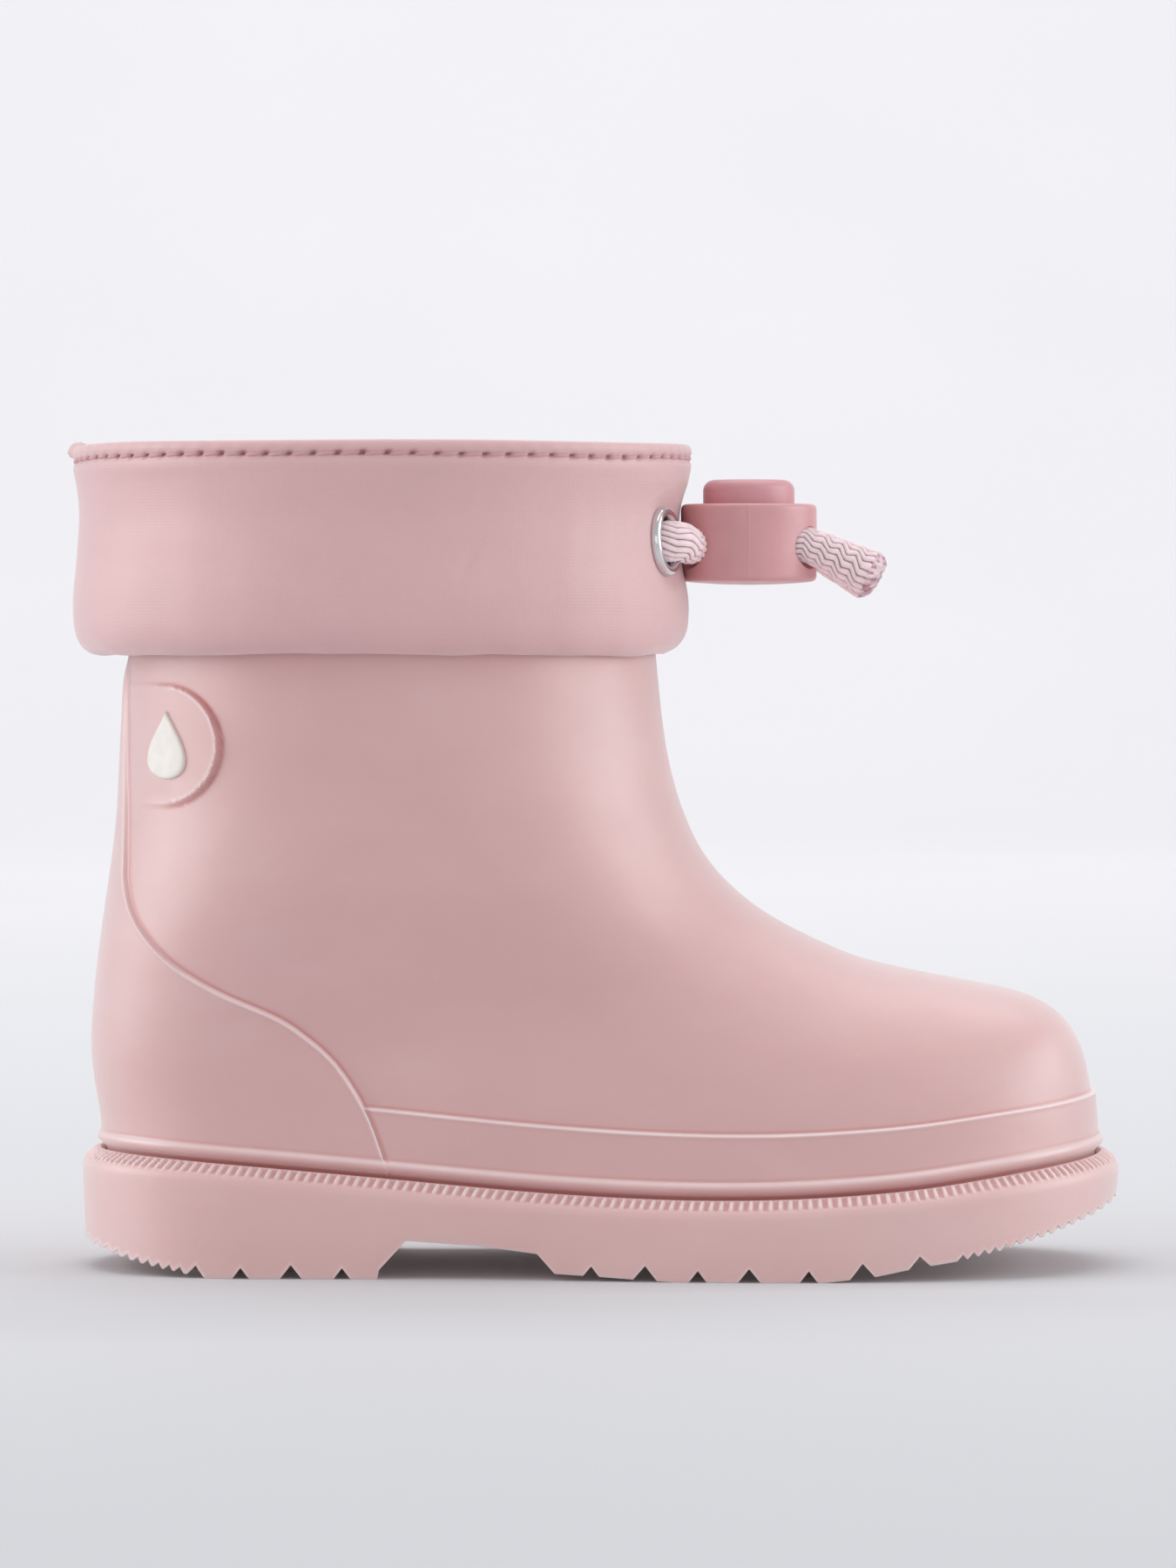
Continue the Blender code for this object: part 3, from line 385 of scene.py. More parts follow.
# ================================================================= materials
class Shader:
    """A Principled material and short ways to wire procedural detail into it."""

    def __init__(self, name, color, rough, metallic=0.0, **sockets):
        self.m = bpy.data.materials.new(name)
        self.m.use_nodes = True
        self.t = self.m.node_tree
        self.b = self.t.nodes["Principled BSDF"]
        self.b.inputs["Base Color"].default_value = (*color, 1)
        self.b.inputs["Roughness"].default_value = rough
        self.b.inputs["Metallic"].default_value = metallic
        for k, v in sockets.items():
            self.b.inputs[k].default_value = v
        self.color = color

    def node(self, kind, **props):
        n = self.t.nodes.new(kind)
        for k, v in props.items():
            setattr(n, k, v)
        return n

    def link(self, a, b):
        self.t.links.new(a, b)

    def coords(self, which="Object", scale=(1, 1, 1), rotation=(0, 0, 0)):
        c = self.node("ShaderNodeTexCoord")
        m = self.node("ShaderNodeMapping")
        m.inputs["Scale"].default_value = scale
        m.inputs["Rotation"].default_value = rotation
        self.link(c.outputs[which], m.inputs["Vector"])
        return m.outputs["Vector"]

    def noise(self, vector, scale, detail=2.0, rough=0.5):
        n = self.node("ShaderNodeTexNoise")
        n.inputs["Scale"].default_value = scale
        n.inputs["Detail"].default_value = detail
        n.inputs["Roughness"].default_value = rough
        self.link(vector, n.inputs["Vector"])
        return n.outputs["Fac"]

    def voronoi(self, vector, scale, feature="F1"):
        n = self.node("ShaderNodeTexVoronoi", feature=feature)
        n.inputs["Scale"].default_value = scale
        self.link(vector, n.inputs["Vector"])
        return n.outputs["Distance"]

    def wave(self, vector, scale, direction="X", distortion=0.0, profile="SIN"):
        n = self.node("ShaderNodeTexWave", wave_type="BANDS", bands_direction=direction, wave_profile=profile)
        n.inputs["Scale"].default_value = scale
        n.inputs["Distortion"].default_value = distortion
        self.link(vector, n.inputs["Vector"])
        return n.outputs["Fac"]

    def math(self, op, a, b=0.5, c=None):
        n = self.node("ShaderNodeMath", operation=op)
        for k, v in enumerate((a, b, c)):
            if v is None:
                continue
            if isinstance(v, (int, float)):
                n.inputs[k].default_value = v
            else:
                self.link(v, n.inputs[k])
        return n.outputs[0]

    def ramp(self, fac, stops):
        n = self.node("ShaderNodeValToRGB")
        e = n.color_ramp.elements
        while len(e) < len(stops):
            e.new(0.5)
        for k, (pos, col) in enumerate(stops):
            e[k].position = pos
            e[k].color = (*col, 1) if len(col) == 3 else col
        self.link(fac, n.inputs["Fac"])
        return n.outputs["Color"]

    def mix(self, fac, a, b, blend="MIX"):
        n = self.node("ShaderNodeMix", data_type="RGBA", blend_type=blend)
        for k, v in ((0, fac), (6, a), (7, b)):
            if isinstance(v, (int, float)):
                n.inputs[k].default_value = v
            elif isinstance(v, tuple):
                n.inputs[k].default_value = (*v, 1)
            else:
                self.link(v, n.inputs[k])
        return n.outputs[2]

    def map(self, fac, a, b, c, d):
        n = self.node("ShaderNodeMapRange")
        for k, v in enumerate((a, b, c, d)):
            n.inputs[k + 1].default_value = v
        self.link(fac, n.inputs[0])
        return n.outputs[0]

    def bump(self, height, distance, strength=1.0, normal=None):
        n = self.node("ShaderNodeBump")
        n.inputs["Strength"].default_value = strength
        n.inputs["Distance"].default_value = distance
        self.link(height, n.inputs["Height"])
        if normal is not None:
            self.link(normal, n.inputs["Normal"])
        return n.outputs["Normal"]

    def to(self, name, value):
        self.link(value, self.b.inputs[name])


def tint(c, k):
    return tuple(min(1.0, max(0.0, v * k)) for v in c)


def pvc(name, color, rough=0.42):
    """Satin moulded PVC: faint flow marks, fine mould grain, dust-soft roughness, painted highlights along raised edges
    and painted shade in recesses.
    """
    s = Shader(name, color, rough)
    s.b.inputs["Subsurface Weight"].default_value = 0.12
    s.b.inputs["Subsurface Radius"].default_value = (1.0, 0.5, 0.45)
    s.b.inputs["Subsurface Scale"].default_value = 0.0015
    s.b.inputs["Specular IOR Level"].default_value = 0.95
    s.b.inputs["Sheen Weight"].default_value = 0.72
    s.b.inputs["Sheen Roughness"].default_value = 0.50
    o = s.coords("Object")
    flow = s.noise(s.coords("Object", (1, 1, 2.2)), 26, 3, 0.55)
    col = s.ramp(flow, [(0.30, tint(color, 0.955)), (0.52, color), (0.75, tuple(
        c * 0.93 + 0.07 * 0.9 for c in color))])
    speck = s.noise(o, 420, 3, 0.65)
    col = s.mix(s.map(speck, 0.62, 0.8, 0.0, 0.22), col, tint(color, 1.16))
    painted_light_shade = s.node("ShaderNodeAttribute", attribute_name="painted_light_shade").outputs["Fac"]
    highlight_patchiness = s.map(s.noise(o, 55, 3, 0.6), 0.25, 0.7, 0.55, 1.0)
    # Painted highlight: where the vertex attribute is above zero the colour is mixed toward a light pink, patchy by
    # noise.
    col = s.mix(s.math("MULTIPLY", s.map(painted_light_shade, 0.0, 1.0, 0.0, 0.80), highlight_patchiness), col, (0.94, 0.79, 0.79))
    # Painted shade: where the vertex attribute is below zero the colour is mixed toward a deep red.
    col = s.mix(s.map(painted_light_shade, -1.0, 0.0, 0.68, 0.0), col, (color[0] * 0.80, color[1] * 0.36, color[2] * 0.32))
    s.to("Base Color", col)
    smear = s.noise(o, 70, 4, 0.6)
    s.to("Roughness", s.map(smear, 0.25, 0.78, rough - 0.06, rough + 0.09))
    grain = s.noise(o, 2600, 3, 0.6)
    ripple = s.noise(o, 130, 2, 0.5)
    n = s.bump(ripple, 0.00022, 0.35)
    s.to("Normal", s.bump(grain, 0.00003, 0.5, n))
    return s.m


SHELL_COLOR = (0.690, 0.400, 0.388)
SOLE_COLOR = (0.732, 0.450, 0.434)
CUFF_COLOR = (0.703, 0.430, 0.431)
M_SHELL = pvc("moulded_shell_pvc", SHELL_COLOR, 0.43)
M_SOLE = pvc("moulded_sole_pvc", SOLE_COLOR, 0.47)


def coated_cloth(name, color):
    """Thin polyurethane-coated cloth: a fine woven ground under a smooth matt film, with soft creases."""
    s = Shader(name, color, 0.46)
    s.b.inputs["Sheen Weight"].default_value = 0.50
    s.b.inputs["Sheen Roughness"].default_value = 0.46
    s.b.inputs["Specular IOR Level"].default_value = 0.40
    o = s.coords("Object")
    cloud = s.noise(s.coords("Object", (1, 1, 1.6)), 30, 3, 0.55)
    col = s.ramp(cloud, [(0.28, tint(color, 0.95)), (0.52, color), (0.78, tint(color, 1.05))])
    hole_painted_shade = s.node("ShaderNodeAttribute", attribute_name="needle_hole_painted_shade").outputs["Fac"]
    # Painted shade: the needle holes are mixed toward a deep red.
    s.to("Base Color", s.mix(hole_painted_shade, col, (0.36, 0.10, 0.09)))
    uv = s.coords("UV")
    warp = s.wave(uv, 0.62, "X", 0.6)
    weft = s.wave(uv, 0.62, "Y", 0.6)
    weave = s.math("MAXIMUM", warp, weft)
    s.to("Roughness", s.map(s.noise(o, 90, 4, 0.6), 0.25, 0.8, 0.40, 0.54))
    creases = s.noise(s.coords("Object", (1, 1, 0.45)), 160, 3, 0.5)
    n = s.bump(creases, 0.00030, 0.35)
    n = s.bump(weave, 0.00004, 0.35, n)
    s.to("Normal", s.bump(s.noise(o, 1800, 2, 0.6), 0.00003, 0.45, n))
    return s.m


M_CUFF = coated_cloth("coated_cuff_cloth", CUFF_COLOR)


def knit(name, color, pitch=0.55, depth=0.00025):
    """A fine jersey knit: columns of small V stitches."""
    s = Shader(name, color, 0.88)
    s.b.inputs["Sheen Weight"].default_value = 0.35
    s.b.inputs["Sheen Roughness"].default_value = 0.5
    uv = s.coords("UV")
    wobble = s.noise(uv, 0.9, 2, 0.5)
    wales = s.wave(uv, pitch, "X", 0.15)
    left = s.wave(s.coords("UV", (1, 1, 1), (0, 0, 0.9)), pitch * 1.25, "X", 0.3)
    right = s.wave(s.coords("UV", (1, 1, 1), (0, 0, -0.9)), pitch * 1.25, "X", 0.3)
    v = s.math("MULTIPLY", s.math("ADD", left, right), 0.5)
    h = s.math("ADD", s.math("MULTIPLY", wales, 0.55), s.math("MULTIPLY", v, 0.45))
    # Painted shade: the low parts between the stitches are darker, following the bump.
    col = s.mix(s.map(h, 0.15, 0.85, 0.0, 1.0), tint(color, 0.62), tint(color, 1.08))
    col = s.mix(s.map(wobble, 0.3, 0.7, 0.0, 0.35), col, tint(color, 0.9))
    s.to("Base Color", col)
    s.to("Normal", s.bump(h, depth, 0.8))
    return s.m


M_KNIT = knit("lining_knit", (0.80, 0.70, 0.68))
M_INSOLE = knit("insole_knit", (0.72, 0.60, 0.59), 0.42)


def foam(name, color):
    s = Shader(name, color, 0.82)
    o = s.coords("Object")
    cells = s.voronoi(o, 1300)
    # Painted shade: the cell pits are darker, following the bump.
    s.to("Base Color", s.mix(s.map(cells, 0.0, 0.6, 0.0, 1.0), tint(color, 0.8), color))
    s.to("Normal", s.bump(cells, 0.0002, 0.6))
    return s.m


M_FOAM = foam("insole_foam_eva", (0.70, 0.64, 0.62))


def thread(name, color):
    s = Shader(name, color, 0.6)
    s.b.inputs["Sheen Weight"].default_value = 0.3
    twist = s.wave(s.coords("UV", (1, 1, 1), (0, 0, 0.7)), 1.2, "X", 0.2)
    # Painted shade: the grooves of the twist are darker, following the bump.
    s.to("Base Color", s.mix(s.map(twist, 0.1, 0.9, 0.0, 1.0), tint(color, 0.72), tint(color, 1.12)))
    s.to("Normal", s.bump(twist, 0.00008, 0.9))
    return s.m


M_THREAD = thread("stitch_thread", (0.76, 0.41, 0.44))


def braid_material(name, color):
    """Polyester strands: fine filaments along each strand, painted shade in the gaps between strands and a faint
    painted glow on the strand crowns.
    """
    s = Shader(name, color, 0.72)
    s.b.inputs["Sheen Weight"].default_value = 0.10
    s.b.inputs["Sheen Roughness"].default_value = 0.5
    s.b.inputs["Subsurface Weight"].default_value = 0.35
    s.b.inputs["Subsurface Radius"].default_value = (1.0, 0.75, 0.75)
    s.b.inputs["Subsurface Scale"].default_value = 0.0006
    uv = s.coords("UV")
    filament = s.wave(uv, 1.6, "X", 1.2)
    att = s.node("ShaderNodeAttribute", attribute_name="crown")
    crown = att.outputs["Fac"]
    fuzz = s.noise(s.coords("Object"), 900, 3, 0.6)
    # Painted shade: the colour darkens from the strand crowns into the gaps between strands.
    col = s.ramp(crown, [(0.0, (color[0] * 0.36, color[1] * 0.17, color[2] * 0.20)), (0.33, (color[0] * 0.62, color[1] * 0.41, color[2] * 0.47)), (0.53, (color[0] * 0.99, color[1] * 0.93, color[2] * 0.94)), (1.0, color)])
    col = s.mix(s.map(fuzz, 0.45, 0.8, 0.0, 0.25), col, (0.99, 0.92, 0.93))
    s.to("Base Color", col)
    # Painted glow: the strand crowns emit a faint pink light, as a painted highlight.
    s.b.inputs["Emission Color"].default_value = (1.0, 0.76, 0.81, 1)
    s.to("Emission Strength", s.map(crown, 0.48, 0.85, 0.0, 0.190))
    n = s.bump(fuzz, 0.00010, 0.35)
    s.to("Normal", s.bump(filament, 0.00009, 0.7, n))
    return s.m


CORD_COLOR = (1.0, 0.800, 0.818)
M_CORD = braid_material("braided_polyester", CORD_COLOR)


def lock_plastic(name, color):
    s = Shader(name, color, 0.36)
    s.b.inputs["Specular IOR Level"].default_value = 0.5
    o = s.coords("Object")
    cloud = s.noise(o, 120, 3, 0.5)
    s.to("Base Color", s.ramp(cloud, [(0.3, tint(color, 0.94)), (0.7, tint(color, 1.05))]))
    s.to("Roughness", s.map(s.noise(o, 220, 4, 0.6), 0.3, 0.8, 0.30, 0.46))
    spark = s.noise(o, 5200, 2, 0.6)
    n = s.bump(s.noise(o, 500, 2, 0.5), 0.00004, 0.3)
    s.to("Normal", s.bump(spark, 0.00002, 0.5, n))
    return s.m


M_LOCK = lock_plastic("lock_satin_plastic", (0.668, 0.332, 0.342))
M_BUTTON = lock_plastic("button_satin_plastic", (0.655, 0.318, 0.345))


def plated(name, color, rough=0.14):
    s = Shader(name, color, rough, 1.0)
    o = s.coords("Object")
    s.to("Roughness", s.map(s.noise(o, 800, 4, 0.6), 0.3, 0.75, rough - 0.06, rough + 0.14))
    scratch = s.noise(s.coords("Object", (1, 1, 9)), 500, 2, 0.5)
    s.to("Base Color", s.mix(s.map(s.noise(o, 300, 3, 0.5), 0.4, 0.8, 0.0, 0.25), color, tint(color, 0.72)))
    s.to("Normal", s.bump(scratch, 0.00002, 0.35))
    return s.m


M_METAL = plated("bright_nickel", (0.74, 0.735, 0.745), 0.12)
M_WIRE = plated("spring_wire", (0.62, 0.61, 0.60), 0.24)


def print_rubber(name, color):
    s = Shader(name, color, 0.5)
    o = s.coords("Object")
    s.to("Base Color", s.ramp(s.noise(o, 350, 3, 0.6), [(0.3, tint(color, 0.9)), (0.7, color)]))
    s.to("Normal", s.bump(s.noise(o, 3000, 2, 0.5), 0.00003, 0.5))
    return s.m


M_EMBLEM = print_rubber("emblem_cream_rubber", (0.86, 0.79, 0.74))


# ================================================================= relief of the shell
def badge_distance(x, z):
    """Signed distance (inside is positive) to the D-shaped badge's outline in the side view."""
    round_ = 9.6 - np.hypot(x + 69.0, z - 84.4)
    flat = np.minimum(9.6 - np.abs(z - 84.4), x + 77.0)
    return np.where(x > -69.0, round_, flat)


def relief(x, y, z):
    g = groove_z(x)
    up = z - g
    edge, slope = panel_edge(z)
    dist = (edge - x) / np.sqrt(1 + slope ** 2)
    down = band_top(x) - up
    lip = 0.15 - 0.10 * step(46.0, 58.0, z)
    counter = 0.78 * step(-0.20, 0.16, dist) + lip * np.exp(-((dist - 0.27) / 0.20) ** 2)
    band = (0.72 * step(-0.20, 0.16, down) + 0.15 * np.exp(-((down - 0.27) / 0.20) ** 2)) * step(0.25, -0.25, dist)
    h = np.maximum(counter, band)
    h = h * step(-0.6, 0.2, up)
    bead = 1.42 * np.sqrt(np.clip(1 - ((up - 1.2) / 1.12) ** 2, 0, 1))
    h = np.maximum(h, bead)
    # the badge: a flat face, flush at its rear edge and proud at its round edge
    d = badge_distance(x, z)
    rise = 0.90 * np.clip((x + 73.8) / 14.0, 0, 1) ** 1.2 + 0.10 + 0.09 * np.exp(-((d - 0.3) / 0.2) ** 2)
    tail = 1 - 0.8 * step(-66.0, -70.0, x) * step(79.0, 76.0, z)
    badge = rise * tail * step(-0.22, 0.14, d) * (y < 0)
    return np.maximum(h, badge)


def painted_light_shade_at(x, y, z):
    """Painted light for the shell, per point: above zero a painted highlight along the panel and band edges, on the
    bead and on the badge's rim; below zero painted shade beside those edges, round the badge's riser, in the groove and
    just above the bead.
    """
    up = z - groove_z(x)
    edge, slope = panel_edge(z)
    dist = (edge - x) / np.sqrt(1 + slope ** 2)
    down = band_top(x) - up
    # Painted highlight: a light line along the heel panel's edge, the foxing band's top edge, the bead's upper side and
    # the badge's rim.
    painted_highlight = 1.15 * np.exp(-((dist - 0.12) / 0.24) ** 2) * step(0.5, 2.4, up) * (1 - 0.75 * step(44.0, 56.0, z))
    painted_highlight = np.maximum(painted_highlight, 1.15 * np.exp(-((down - 0.12) / 0.24) ** 2) * (dist < 0.1))
    painted_highlight = np.maximum(painted_highlight, 0.75 * np.exp(-((up - 1.80) / 0.42) ** 2))
    d = badge_distance(x, z)
    face = (y < 0) * step(-74.0, -66.0, x)
    painted_highlight = np.maximum(painted_highlight, 0.65 * np.exp(-((d - 0.50) / 0.20) ** 2) * face)
    # Painted shade: darker beside the panel and band edges, round the badge's riser, in the groove and just above the
    # bead.
    painted_shade = np.exp(-((dist + 0.42) / 0.22) ** 2) * step(1.5, 2.6, up)
    painted_shade = np.maximum(painted_shade, np.exp(-((d + 0.20) / 0.36) ** 2) * face)
    painted_shade = np.maximum(painted_shade, 0.6 * np.exp(-((down + 0.42) / 0.22) ** 2) * (dist < 0))
    painted_shade = np.maximum(painted_shade, 1.2 * step(0.35, -0.35, up))
    painted_shade = np.maximum(painted_shade, 0.45 * np.exp(-((up - 2.45) / 0.25) ** 2))
    return painted_highlight - painted_shade


PITCH = 0.44


def shell_levels(z_low, z_high, pitch):
    s = np.concatenate([[0], np.cumsum(np.linalg.norm(np.diff(FRONT_LINE, axis=0), axis=1))])
    s0, s1 = np.interp([z_low, z_high], FRONT_LINE[:, 1], s)
    at = np.linspace(s0, s1, int((s1 - s0) / pitch) + 1)
    return np.interp(at, s, FRONT_LINE[:, 1])


def wall_grid(levels, count):
    return np.array([row(z, count) for z in levels])


# ---- boot shell
_top = 19.18 + float(band_top(80.8))
levels = np.concatenate([np.arange(17.6, 22.4, 0.2), np.arange(22.4, _top - 1.1, PITCH),
                         _top + CLUSTER, shell_levels(_top + 1.4, 106.5, PITCH)])
AHEAD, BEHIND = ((300, 140))
wall = np.array([panel_row(z, AHEAD, BEHIND) for z in levels])
COLS = wall.shape[1]
norm = grid_normals(wall)
rel = relief(wall[..., 0], wall[..., 1], wall[..., 2])
soft = noise3(wall, 26.0) * 0.16 + noise3(wall, 11.0) * 0.05
soft *= step(0.0, 6.0, wall[..., 2] - groove_z(wall[..., 0]))
outer = wall + norm * (rel + soft)[..., None]
rim = wall[-1] - norm[-1] * 2.2
rim2 = rim.copy()
rim2[:, 2] -= 6.0
outer = np.concatenate([outer, rim[None], rim2[None]])
arc = np.linspace(0, 424, COLS + 1)
vv = np.concatenate([[0], np.cumsum(np.full(len(outer) - 1, PITCH))])
boot = quads_mesh("rain_boot_shell", outer, grid_quads(len(outer), COLS), M_SHELL,
                  grid_uv(arc, vv, len(outer), COLS), True, 50)
# Painted highlight and painted shade per point, stored as a vertex attribute for the material; zero on the two rim
# rows.
_painted_light_shade = painted_light_shade_at(wall[..., 0], wall[..., 1], wall[..., 2])
_painted_light_shade = np.concatenate([_painted_light_shade, np.zeros((2, COLS))])
att = boot.data.attributes.new("painted_light_shade", "FLOAT", "POINT")
att.data.foreach_set("value", _painted_light_shade.astype(np.float32).ravel())
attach(boot, "boot")
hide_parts("boot_shell")

# ---- lining, seen down the shaft
lin_levels = shell_levels(20.5, 99.0, 1.6)
LC = 260
lin = wall_grid(lin_levels, LC)
lin_n = grid_normals(lin)
inner = lin - lin_n * 3.3
inner += lin_n * (noise3(lin, 14.0) * 0.25)[..., None]
inner[0, :, 2] = groove_z(inner[0, :, 0]) + 1.2
deep = inner[::-1]
lq = grid_quads(len(deep), LC)
lin_o = quads_mesh("lining_sock_knit", np.concatenate([deep.reshape(-1, 3)]),
                   np.concatenate([lq, ladder_quads(LC, (len(deep) - 1) * LC)]), M_KNIT,
                   np.concatenate([grid_uv(np.linspace(0, 400, LC + 1), np.linspace(0, 150, len(deep) + 1), len(deep), LC),
                                   np.zeros((LC // 2 - 2, 4, 2))]), True, None)
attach(lin_o, "boot")
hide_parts("lining_sock")

# ================================================================= outsole
foot_count = 214 * 10
foot = row(19.45, foot_count, 1600)


def plan_normals(ring):
    r = ring[:, :2]
    t = np.roll(r, -3, axis=0) - np.roll(r, 3, axis=0)
    n = np.stack([-t[:, 1], t[:, 0]], axis=1)
    n /= np.linalg.norm(n, axis=1, keepdims=True)
    if ((r - r.mean(0)) * n).sum() < 0:
        n = -n
    return n


foot_n = plan_normals(foot)
edge_line = foot[:, :2] + foot_n * 3.9
arc_foot = np.concatenate([[0], np.cumsum(np.linalg.norm(np.diff(np.concatenate([edge_line, edge_line[:1]]), axis=0), axis=1))])
RIB_PITCH = 1.56
ribs = round(arc_foot[-1] / RIB_PITCH)
phase = arc_foot[:-1] / arc_foot[-1] * ribs


def ribbed(slant):
    """The welt's ribs, leaning a little along the edge."""
    r = np.clip(0.16 + 1.15 * np.cos(2 * math.pi * (phase - slant / RIB_PITCH)), 0, 1)
    return r * r * (3 - 2 * r)



_tread = np.array(TREAD, float)


def tread_base(x):
    return np.interp(x, _tread[:, 0], _tread[:, 1])


def tread(x, y, edge):
    """Height of the underside; edge is the distance in from the sole's edge, in mm."""
    z = tread_base(x)
    add = np.zeros_like(z)
    for nx, w, depth, across in NOTCHES:
        bend = 0.0 if not across else 2.4 * (1 - np.clip(np.abs(np.abs(y) - 12) / 12, 0, 1)) * step(4, 9, edge)
        v = np.clip(1 - np.abs(x - nx - bend) / w, 0, 1) * depth * 1.0
        if across:
            v = np.where(edge > 5, np.minimum(np.clip(1.35 - np.abs(x - nx - bend) / w * 1.1, 0, 1), 1) * depth, v)
        else:
            v = v * step(9.0, 7.0, edge)
        add = np.maximum(add, v)
    lugs = ((x > -60) & (x < -37)) | ((x > 3) & (x < 56))
    spine = np.clip(1.2 - np.abs(y - middle_y(x, 0)) / 1.7, 0, 1) * 1.9 * lugs
    add = np.maximum(add, spine * step(-60, -57, x) * step(60, 56, x))
    for x0, x1, pitch, depth in (TEETH_HEEL, TEETH_TOE):
        inside = (x > x0) & (x < x1)
        f = ((x - x0) / pitch) % 1.0
        tooth = np.where(f < 0.62, f / 0.62, (1 - f) / 0.38) * depth
        add = np.where(inside, np.maximum(add, tooth * step(12.0, 8.0, edge)), add)
    # small sipes in the lands
    sipe = np.clip(1 - np.abs(((x + 2.0) % 4.3) - 2.15) / 0.35, 0, 1) * 0.6 * (edge > 10) * lugs
    return z + np.maximum(add, sipe)


profile = []  # (offset, dz over the groove, rib share)
for o_, d_, r_ in [(0.15, -2.4, 0), (0.2, -1.55, 0), (0.45, -1.15, 0), (0.75, -0.85, 0), (1.0, -0.66, 0), (1.2, -0.66, 0),
                   (1.36, -0.78, 0.35), (1.52, -0.90, 0.85), (1.72, -1.02, 1), (2.0, -1.20, 1), (2.3, -1.41, 1),
                   (2.6, -1.62, 1), (2.85, -1.80, 1), (3.02, -1.93, 0.8), (3.18, -2.05, 0.45), (3.34, -2.20, 0.18),
                   (3.52, -2.40, 0.04), (3.70, -2.70, 0), (3.84, -3.1, 0), (3.9, -3.6, 0)]:
    profile.append((o_, d_, r_))
gz = groove_z(foot[:, 0])
rings, welt_painted_light_shade = [], []
for o_, d_, r_ in profile:
    rib = ribbed(0.34 * (o_ - 1.4) * np.clip((34.0 - foot[:, 0]) / 45.0, 0, 1))
    # Painted highlight on the rib tops, painted shade in the gaps between ribs and on the welt's groove side.
    welt_painted_light_shade.append(r_ * (1.25 * rib - 0.38) - (1.0 if o_ < 0.9 else 0.0))
    lift = rib * r_ * 0.50 - r_ * 0.20
    p = np.stack([foot[:, 0] + foot_n[:, 0] * (o_ + lift * 0.6), foot[:, 1] + foot_n[:, 1] * (o_ + lift * 0.6),
                  gz + d_ + lift * 0.75], axis=1)
    rings.append(p)
top_of_wall = rings[-1][:, 2]
bx = foot[:, 0] + foot_n[:, 0] * 3.35
by = foot[:, 1] + foot_n[:, 1] * 3.35
bottom = tread(foot[:, 0] + foot_n[:, 0] * 3.9, by, np.zeros(foot_count))
walls = 16
plain_foot = tread_base(foot[:, 0] + foot_n[:, 0] * 3.9) + 0.1
for k in range(1, walls + 1):
    f = k / walls
    zz = top_of_wall * (1 - f) + (bottom + 0.16) * f
    off = 3.9 - 0.45 * np.clip((top_of_wall - zz) / (top_of_wall - plain_foot), 0, 1) ** 1.3
    rings.append(np.stack([foot[:, 0] + foot_n[:, 0] * off, foot[:, 1] + foot_n[:, 1] * off, zz], axis=1))
rings.append(np.stack([foot[:, 0] + foot_n[:, 0] * 3.30, foot[:, 1] + foot_n[:, 1] * 3.30, bottom], axis=1))
spine_x = np.clip(foot[:, 0], -56.0, 52.0)
spine_p = np.stack([spine_x, middle_y(spine_x, 0)], axis=1)
start = foot[:, :2] + foot_n * 3.30
reach = np.linalg.norm(start - spine_p, axis=1)
inward = 52
for k in range(1, inward + 1):
    f = (k / inward) ** 1.35
    p = start * (1 - f) + spine_p * f
    rings.append(np.concatenate([p, tread(p[:, 0], p[:, 1], reach * f)[:, None]], axis=1))
sole = np.array(rings)
sole[:, :, :] += 0
vs = np.arange(len(sole) + 1) * 0.5
sole_o = quads_mesh("rain_boot_outsole", sole, grid_quads(len(sole), foot_count)[:, ::-1], M_SOLE,
                    grid_uv(arc_foot, vs, len(sole), foot_count)[:, ::-1], True, 42)
_painted_light_shade = np.zeros(sole.shape[:2])
_painted_light_shade[:len(welt_painted_light_shade)] = np.array(welt_painted_light_shade)
# Painted highlight: a light line along the lower edge of the sole's side wall.
_painted_light_shade[len(welt_painted_light_shade) + walls - 1] = 0.55
_painted_light_shade[len(welt_painted_light_shade) + walls] = 0.95
att = sole_o.data.attributes.new("painted_light_shade", "FLOAT", "POINT")
att.data.foreach_set("value", _painted_light_shade.astype(np.float32).ravel())
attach(sole_o, "boot")
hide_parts("outsole")

# ================================================================= footbed
PADC = 300
ring0 = row(19.45, PADC)
ring0_n = plan_normals(ring0)


def pad_piece(name, inset, low, high, mat, crown=0.0, node=None):
    rings_, share = [], []
    base = ring0[:, :2] - ring0_n * inset
    g = groove_z(ring0[:, 0])
    cx = np.clip(ring0[:, 0], -52.0, 48.0)
    c = np.stack([cx, middle_y(cx, 0)], axis=1)
    gc = groove_z(cx)
    for f, h in [(0.0, low), (0.0, low * 0.4 + high * 0.6), (0.012, high - 0.12), (0.035, high)] + [
            (k, high) for k in np.linspace(0.08, 1, 26)]:
        p = base * (1 - f) + c * f
        z = (g * (1 - f) + gc * f) + h - crown * (1 - (1 - min(f * 1.6, 1)) ** 2)
        rings_.append(np.concatenate([p, z[:, None]], axis=1))
    m = np.array(rings_)
    m[4:, :, 2] += noise3(m[4:], 9.0) * 0.12
    rows = len(m)
    uv = np.stack([m[..., 0], m[..., 1]], axis=-1)
    q = grid_quads(rows, PADC)
    o = quads_mesh(name, m, q, mat, uv.reshape(-1, 2)[q], True, None)
    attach(o, "boot")
    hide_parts(node)
    return o
    return o


pad_piece("insole_foam_pad", 5.2, 2.15, 5.1, M_FOAM, 0.0, "insole_foam")
pad_piece("insole_cover_cloth", 5.0, 5.2, 6.25, M_INSOLE, 0.5, "insole_cover")


